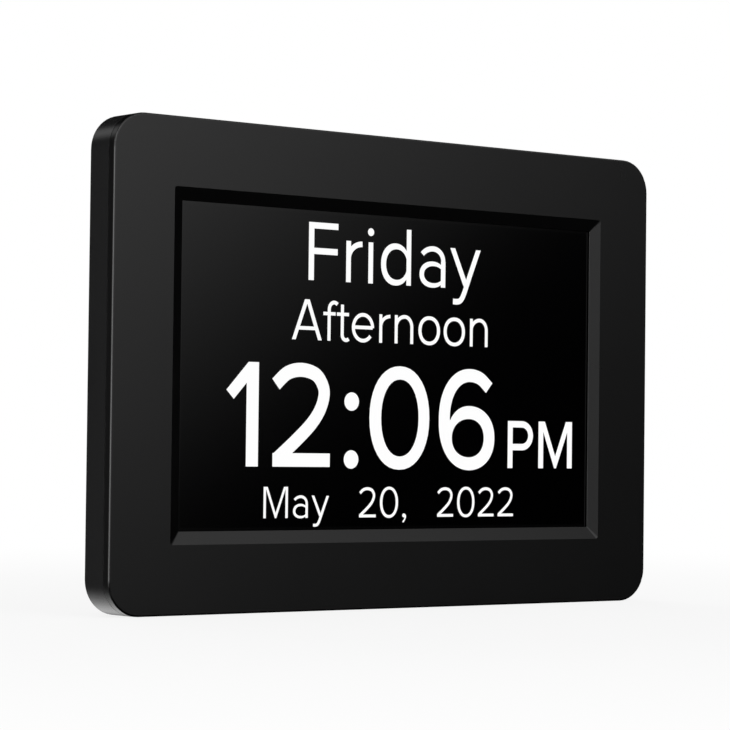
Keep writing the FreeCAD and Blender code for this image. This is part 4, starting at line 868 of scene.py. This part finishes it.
def ribbed_pads(pitch, groove):
    """The two pads of the leg with round ribs across their back faces."""
    (left, front, low), (right, back, high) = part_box("leg_pads")
    inner = min(abs(corner.co.x) for corner in frame["nodes"]["leg_pads"].data.vertices)
    ribs, steps_per_rib = max(1, round((high - low) / pitch)), 8
    steps = ribs * steps_per_rib
    crest = [(low + (high - low) * step / steps,
              back - groove * (1 - abs(math.sin(math.pi * ribs * step / steps))))
             for step in range(steps + 1)]
    outline = [(low, front), *crest, (high, front)]
    shape = bmesh.new()
    for start, end in ((left, -inner), (inner, right)):
        ends = [[shape.verts.new((x, y, z)) for z, y in outline] for x in (start, end)]
        for index in range(len(outline)):
            after = (index + 1) % len(outline)
            shape.faces.new((ends[0][index], ends[0][after], ends[1][after], ends[1][index]))
        shape.faces.new(ends[0])
        shape.faces.new(list(reversed(ends[1])))
    bmesh.ops.recalc_face_normals(shape, faces=shape.faces)
    mesh = bpy.data.meshes.new("ribbed_leg_pads")
    shape.to_mesh(mesh)
    shape.free()
    return mesh


class CLOCK_OT_build_screws(Operator):
    """Finish every screw in dull plated steel"""

    bl_idname = "clock.build_screws"
    bl_label = "Screws"

    def execute(self, context):
        finish(bare_metal("Screw steel", (0.36, 0.36, 0.37), 0.34), "screw_steel")
        return {"FINISHED"}


class CLOCK_OT_build_inlet(Operator):
    """Finish the power inlet and its pin"""

    bl_idname = "clock.build_inlet"
    bl_label = "Power inlet"

    def execute(self, context):
        black = moulded_plastic("Inlet plastic", (0.016, 0.016, 0.017), 0.32, grain_size=0.2 * MM,
                                grain_depth=0.002 * MM)
        finish(black, "jack_plastic")
        finish(bare_metal("Contact brass", (0.72, 0.56, 0.27), 0.22), "contact_brass")
        return {"FINISHED"}


# --------------------------------------------------------------------------- buttons


SIGN_PEN = 0.13


def arrow_head(turn):
    """A triangle that points along an angle in degrees."""
    return [arc((0.0, 0.0), (0.95, 0.95), turn, turn + 240, 2)]


def return_arrow():
    """An arrow that turns back on itself."""
    line = [(-0.7, -0.75)] + arc((0.3, -0.15), (0.6, 0.6), 270, 450) + [(-0.3, 0.45)]
    return [*ribbon(line, SIGN_PEN), [(-0.25, 0.95), (-1.0, 0.45), (-0.25, -0.05)]]


def three_bars():
    """The three bars of a menu."""
    return [face for z in (-0.6, 0.0, 0.6) for face in bar(z, -0.85, 0.85, SIGN_PEN)]


# Shapes about a centre, 2 high, as someone behind the clock sees them. Right is the screen's right.
SIGNS = {
    "right": arrow_head(180), "left": arrow_head(0), "up": arrow_head(90), "down": arrow_head(270),
    "exit": return_arrow(), "menu": three_bars(),
}


class CLOCK_OT_build_buttons(Operator):
    """Finish the button caps and print a sign above each"""

    bl_idname = "clock.build_buttons"
    bl_label = "Buttons and their signs"

    def execute(self, context):
        sizes, colours, _, _ = settings()
        cap = moulded_plastic("Button plastic", tuple(colours.button), 0.30, grain_size=0.25 * MM,
                              grain_depth=0.002 * MM, wear=0.5, worn=0.05)
        finish(cap, "button_plastic")
        ink = printed_ink(tuple(colours.sign))
        for name, shapes in SIGNS.items():
            low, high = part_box(f"button_{name}")
            middle = (low[0] + high[0]) / 2
            level = high[2] + sizes.sign_gap + sizes.sign_height / 2
            scale = sizes.sign_height / 2

            def on_case(point, height):
                return Vector((middle - point.x, CASE_BACK + height, level + point.y))

            faces = [[Vector(point) * scale for point in face] for face in shapes]
            mesh = flat_mesh(f"sign_{name}", faces, sizes.print_proud, on_case)
            add_piece(f"sign_{name}", mesh, ink, "case")
        return {"FINISHED"}


# --------------------------------------------------------------------------- inside


class CLOCK_OT_build_display(Operator):
    """Finish the glass, its gasket and the sheets behind it"""

    bl_idname = "clock.build_display"
    bl_label = "Display stack"

    def execute(self, context):
        sizes, steel = settings()[0], (0.50, 0.50, 0.51)
        finish(screen_glass(sizes.lit_width, sizes.lit_height), "display_glass")
        finish(woven_paper("Gasket foam", (0.035, 0.035, 0.037)), "foam")
        finish(moulded_plastic("Diffuser film", (0.86, 0.87, 0.88), 0.5, wear=0.0), "diffuser_film")
        finish(clear_guide(), "light_guide")
        finish(moulded_plastic("Lamp bar", (0.80, 0.78, 0.62), 0.35, wear=0.0), "lamp_bar")
        finish(moulded_plastic("Flex film", (0.45, 0.20, 0.035), 0.3, wear=0.0), "flex_film")
        finish(bare_metal("Tray steel", steel, 0.3, stretch=(1.0, 1.0, 12.0)), "tray_steel")
        finish(bare_metal("Retainer steel", steel, 0.28, stretch=(12.0, 1.0, 1.0)), "retainer_steel")
        return {"FINISHED"}


class CLOCK_OT_build_boards(Operator):
    """Finish the boards and what is soldered to them"""

    bl_idname = "clock.build_boards"
    bl_label = "Boards and their parts"

    def execute(self, context):
        colours = settings()[1]
        finish(lacquered_board(tuple(colours.board)), "circuit_board")
        finish(moulded_plastic("Chip resin", (0.018, 0.018, 0.02), 0.55, wear=0.0), "chip_resin")
        finish(moulded_plastic("Socket nylon", (0.66, 0.62, 0.52), 0.45, wear=0.0), "socket_plastic")
        finish(moulded_plastic("Switch plastic", (0.03, 0.03, 0.03), 0.4, wear=0.1), "switch_plastic")
        finish(moulded_plastic("Plunger plastic", (0.55, 0.53, 0.49), 0.4, worn=0.7), "plunger_plastic")
        finish(moulded_plastic("Lead sheath", (0.42, 0.03, 0.025), 0.42, wear=0.0), "lead_sheath")
        finish(bare_metal("Can metal", (0.62, 0.62, 0.63), 0.25), "can_metal")
        finish(bare_metal("Cell steel", (0.66, 0.65, 0.63), 0.22), "cell_steel")
        return {"FINISHED"}


class CLOCK_OT_build_speaker(Operator):
    """Finish the loudspeaker behind its grille"""

    bl_idname = "clock.build_speaker"
    bl_label = "Loudspeaker"

    def execute(self, context):
        ferrite = moulded_plastic("Magnet ferrite", (0.045, 0.044, 0.043), 0.5, grain_size=0.6 * MM,
                                  grain_depth=0.02 * MM, worn=0.12)
        finish(bare_metal("Basket steel", (0.42, 0.42, 0.43), 0.33), "basket_steel")
        finish(woven_paper("Cone paper", (0.05, 0.048, 0.045)), "cone_paper")
        finish(ferrite, "magnet_ferrite")
        return {"FINISHED"}


# --------------------------------------------------------------------------- readout

READOUT_LINES = (
    # setting, left ink, baseline, capital height and pen in mm, tracking and word space in capitals
    ("day", -32.13, 94.8, 16.7, 1.70, 0.0, 0.0),
    ("part", -37.9, 77.6, 11.6, 1.08, 0.0, 0.0),
    ("time", -60.6, 41.2, 29.5, 3.88, 0.0, 0.0),
    ("half", 44.25, 41.2, 14.3, 1.96, 0.0, 0.0),
    ("date", -47.1, 26.6, 8.88, 0.84, 0.034, 1.125),
)


class CLOCK_OT_build_readout(Operator):
    """Set the lit lines of the readout on the screen"""

    bl_idname = "clock.build_readout"
    bl_label = "Readout"

    def execute(self, context):
        sizes, colours, readout, _ = settings()
        lit = lit_figures(tuple(colours.readout))

        def on_glass(point, height):
            return Vector((point.x, GLASS_FRONT - height, point.y))

        for setting, left, baseline, height, pen, tracking, word_space in READOUT_LINES:
            faces = set_line(getattr(readout, setting), left * MM, baseline * MM, height * MM,
                             pen * MM, tracking, word_space)
            mesh = flat_mesh(f"readout_{setting}", faces, sizes.readout_proud, on_glass)
            add_piece(f"readout_{setting}", mesh, lit, "case")
        return {"FINISHED"}


class CLOCK_OT_build_stage(Operator):
    """Lay the floor, hang the lamps and set up the camera"""

    bl_idname = "clock.build_stage"
    bl_label = "Stage, lamps and camera"

    def execute(self, context):
        studio = settings()[3]
        build_floor(studio.floor_radius)
        build_world()
        build_lamps(studio)
        build_camera()
        context.scene.view_settings.view_transform = "Standard"
        return {"FINISHED"}


# --------------------------------------------------------------------------- stage

CAMERA_PLACE = (-0.51059, -0.64647, 0.0469)
CAMERA_YAW, CAMERA_PITCH, CAMERA_ROLL = 38.169, 1.704, 0.659
CAMERA_LENS = 136.91


def build_camera():
    """The camera in front and to the left, a little below the middle of the clock."""
    yaw, pitch, roll = (math.radians(a) for a in (CAMERA_YAW, CAMERA_PITCH, CAMERA_ROLL))
    forward = Vector((math.sin(yaw) * math.cos(pitch), math.cos(yaw) * math.cos(pitch),
                      math.sin(pitch)))
    right = Vector((math.cos(yaw), -math.sin(yaw), 0.0))
    up = right.cross(forward)
    tilted_right = right * math.cos(roll) + up * math.sin(roll)
    tilted_up = up * math.cos(roll) - right * math.sin(roll)
    lens = bpy.data.cameras.new("camera")
    lens.lens = CAMERA_LENS
    lens.clip_start = 0.01
    camera = bpy.data.objects.new("camera", lens)
    bpy.context.collection.objects.link(camera)
    turn = Matrix((tilted_right, tilted_up, -forward)).transposed()
    camera.matrix_world = Matrix.Translation(CAMERA_PLACE) @ turn.to_4x4()
    bpy.context.scene.camera = camera


PAPER = (0.82, 0.82, 0.82, 1.0)
WHITE = (1.0, 1.0, 1.0, 1.0)
EVEN_LIGHT = 0.6
MIRRORED_FLOOR = 0.05
FLOOR_DROP = 0.02 * MM
# The floor is this white beside the clock, and pure white from a share of its radius outwards
WHITE_NEAR, FADE_START, FADE_END = 0.85, 0.12, 0.9


def choose(tree, share, first, second):
    """A shader that goes from first to second as a share rises."""
    return add_node(tree, "ShaderNodeMixShader", {0: share, 1: first, 2: second}).outputs[0]


def by_ray(tree, seen, mirrored, rest):
    """One shader for camera and transmission rays, one for glossy rays and one for the rest."""
    path = add_node(tree, "ShaderNodeLightPath").outputs
    direct = compute(tree, "MAXIMUM", path["Is Camera Ray"], path["Is Transmission Ray"])
    return choose(tree, direct, choose(tree, path["Is Glossy Ray"], rest, mirrored), seen)


def build_floor(radius):
    """A pale round floor that fades into the white surround and keeps a soft shadow."""
    material = bpy.data.materials.new("Floor")
    material.use_nodes = True
    tree = material.node_tree
    tree.nodes.remove(tree.nodes["Principled BSDF"])
    paper = add_node(tree, "ShaderNodeBsdfDiffuse", {"Color": PAPER}).outputs[0]
    white, dark = (add_node(tree, "ShaderNodeEmission", {"Color": WHITE, "Strength": strength}).outputs[0]
                   for strength in (1.0, MIRRORED_FLOOR))
    far = add_node(tree, "ShaderNodeVectorMath", {0: object_point(tree)}, operation="LENGTH")
    fade = ramp(tree, far.outputs["Value"], FADE_START, radius * FADE_END, start=WHITE_NEAR,
                shape="SMOOTHSTEP")
    both = by_ray(tree, seen=choose(tree, fade, paper, white), mirrored=dark, rest=paper)
    tree.links.new(both, tree.nodes["Material Output"].inputs["Surface"])
    shape = bmesh.new()
    bmesh.ops.create_circle(shape, cap_ends=True, radius=radius, segments=96)
    mesh = bpy.data.meshes.new("floor")
    shape.to_mesh(mesh)
    shape.free()
    mesh.materials.append(material)
    floor = bpy.data.objects.new("floor", mesh)
    floor.location.z = cad_box[0][2] - FLOOR_DROP
    floor.visible_glossy = False
    bpy.context.collection.objects.link(floor)


def toward(azimuth, elevation):
    """Unit vector out of the clock's front: azimuth from straight ahead to its right."""
    a, e = math.radians(azimuth), math.radians(elevation)
    return Vector((math.sin(a) * math.cos(e), -math.cos(a) * math.cos(e), math.sin(e)))


def add_glow(tree, azimuth, elevation, roll, width, height, strength):
    """A patch of light round a direction. width and height are its half extents, 1 being 90 degrees."""
    forward = toward(azimuth, elevation)
    level = Vector((math.cos(math.radians(azimuth)), math.sin(math.radians(azimuth)), 0.0))
    upward = level.cross(forward) * math.copysign(1.0, level.cross(forward).z)
    turn = math.radians(roll)
    across = level * math.cos(turn) + upward * math.sin(turn)
    upright = upward * math.cos(turn) - level * math.sin(turn)
    patch = group_node(tree, "glow", {"Across": across / width, "Up": upright / height,
                                      "Toward": forward, "Strength": strength})
    return patch["Light"]


STUDIO_GLOWS = (
    # name, azimuth, elevation, roll, width, height, strength
    ("key softbox", 24, 10, 37, 0.65, 0.28, 1.8),
    ("front reflector", -56, 1, -7, 0.82, 0.36, 6.0),
    ("overhead sheet", 18, 33, 32, 1.45, 0.28, 1.45),
    ("overhead strip", 6, 34, 0, 0.25, 0.16, 2.0),
    ("left strip", -45, 38, 0, 0.45, 0.40, 2.8),
    ("left sheet", -38, 45, 72, 1.04, 0.89, 1.2),
    ("left wall", -110, -5, 94, 0.81, 0.73, 0.50),
    ("rear softbox", -160, 31, 6, 0.28, 0.26, 0.9),
    ("rear sheet", 175, -2, 0, 0.36, 0.34, 1.0),
    ("floor behind", 172, -28, 0, 0.62, 0.42, 2.0),
)


def build_world():
    """White for what the camera sees, an even light for the rest and glows for reflections."""
    world = bpy.data.worlds.new("surround")
    bpy.context.scene.world = world
    world.use_nodes = True
    tree = world.node_tree
    tree.nodes.clear()
    total = None
    for _, *glow in STUDIO_GLOWS:
        light = add_glow(tree, *glow)
        total = light if total is None else compute(tree, "ADD", total, light)
    white, even, glows = (
        add_node(tree, "ShaderNodeBackground", {"Color": WHITE, "Strength": strength}).outputs[0]
        for strength in (1.0, EVEN_LIGHT, total))
    both = by_ray(tree, seen=white, mirrored=glows, rest=even)
    out = add_node(tree, "ShaderNodeOutputWorld", {"Surface": both})
    out.is_active_output = True


def add_lamp(name, azimuth, elevation, distance, width, height, power):
    """A soft rectangular lamp that faces the middle of the clock."""
    light = bpy.data.lights.new(name, "AREA")
    light.shape = "RECTANGLE"
    light.size, light.size_y, light.energy = width, height, power
    lamp = bpy.data.objects.new(name, light)
    bpy.context.collection.objects.link(lamp)
    out = toward(azimuth, elevation)
    centre = Vector((0.0, 0.0, MIDDLE_HEIGHT))
    lamp.location = centre + out * distance
    lamp.rotation_euler = out.to_track_quat("Z", "Y").to_euler()
    lamp.visible_camera = False
    lamp.visible_glossy = False


def build_lamps(studio):
    """The key lamp in front, and a softer one behind for the back of the clock."""
    add_lamp("key_lamp", azimuth=8.0, elevation=24.0, distance=0.9, width=0.55, height=0.45,
             power=studio.key_power)
    add_lamp("back_lamp", azimuth=165.0, elevation=35.0, distance=1.0, width=0.7, height=0.5,
             power=studio.back_power)


# --------------------------------------------------------------------------- panel and start

STEPS = (
    CLOCK_OT_build_bezel, CLOCK_OT_build_shell, CLOCK_OT_build_leg, CLOCK_OT_build_screws,
    CLOCK_OT_build_inlet, CLOCK_OT_build_buttons, CLOCK_OT_build_display, CLOCK_OT_build_boards,
    CLOCK_OT_build_speaker, CLOCK_OT_build_readout, CLOCK_OT_build_stage,
)
GROUPS_OF_SETTINGS = {
    "clock_sizes": ClockSizes, "clock_colours": ClockColours, "clock_readout": ClockReadout,
    "clock_studio": ClockStudio,
}


class CLOCK_PT_steps(Panel):
    """The clock's finishing steps, in order"""

    bl_idname = "CLOCK_PT_steps"
    bl_label = "Day Clock"
    bl_space_type = "VIEW_3D"
    bl_region_type = "UI"
    bl_category = "Day Clock"

    def draw(self, context):
        for step in STEPS:
            self.layout.operator(step.bl_idname)
        for name, group in GROUPS_OF_SETTINGS.items():
            box = self.layout.box()
            for label in group.__annotations__:
                box.prop(getattr(context.scene, name), label)


CLASSES = (*GROUPS_OF_SETTINGS.values(), *STEPS, CLOCK_PT_steps)


def register():
    for item in CLASSES:
        bpy.utils.register_class(item)
    for name, group in GROUPS_OF_SETTINGS.items():
        setattr(bpy.types.Scene, name, PointerProperty(type=group))


def unregister():
    for name in GROUPS_OF_SETTINGS:
        delattr(bpy.types.Scene, name)
    for item in reversed(CLASSES):
        bpy.utils.unregister_class(item)


def main():
    """Builds the clock's looks step by step."""
    register()
    for step in STEPS:
        family, name = step.bl_idname.split(".")
        getattr(getattr(bpy.ops, family), name)()
    plain = set(SLOT_OF) - finished
    if plain:
        raise RuntimeError(f"pieces without a finish: {sorted(plain)}")


if __name__ == "__main__":
    main()
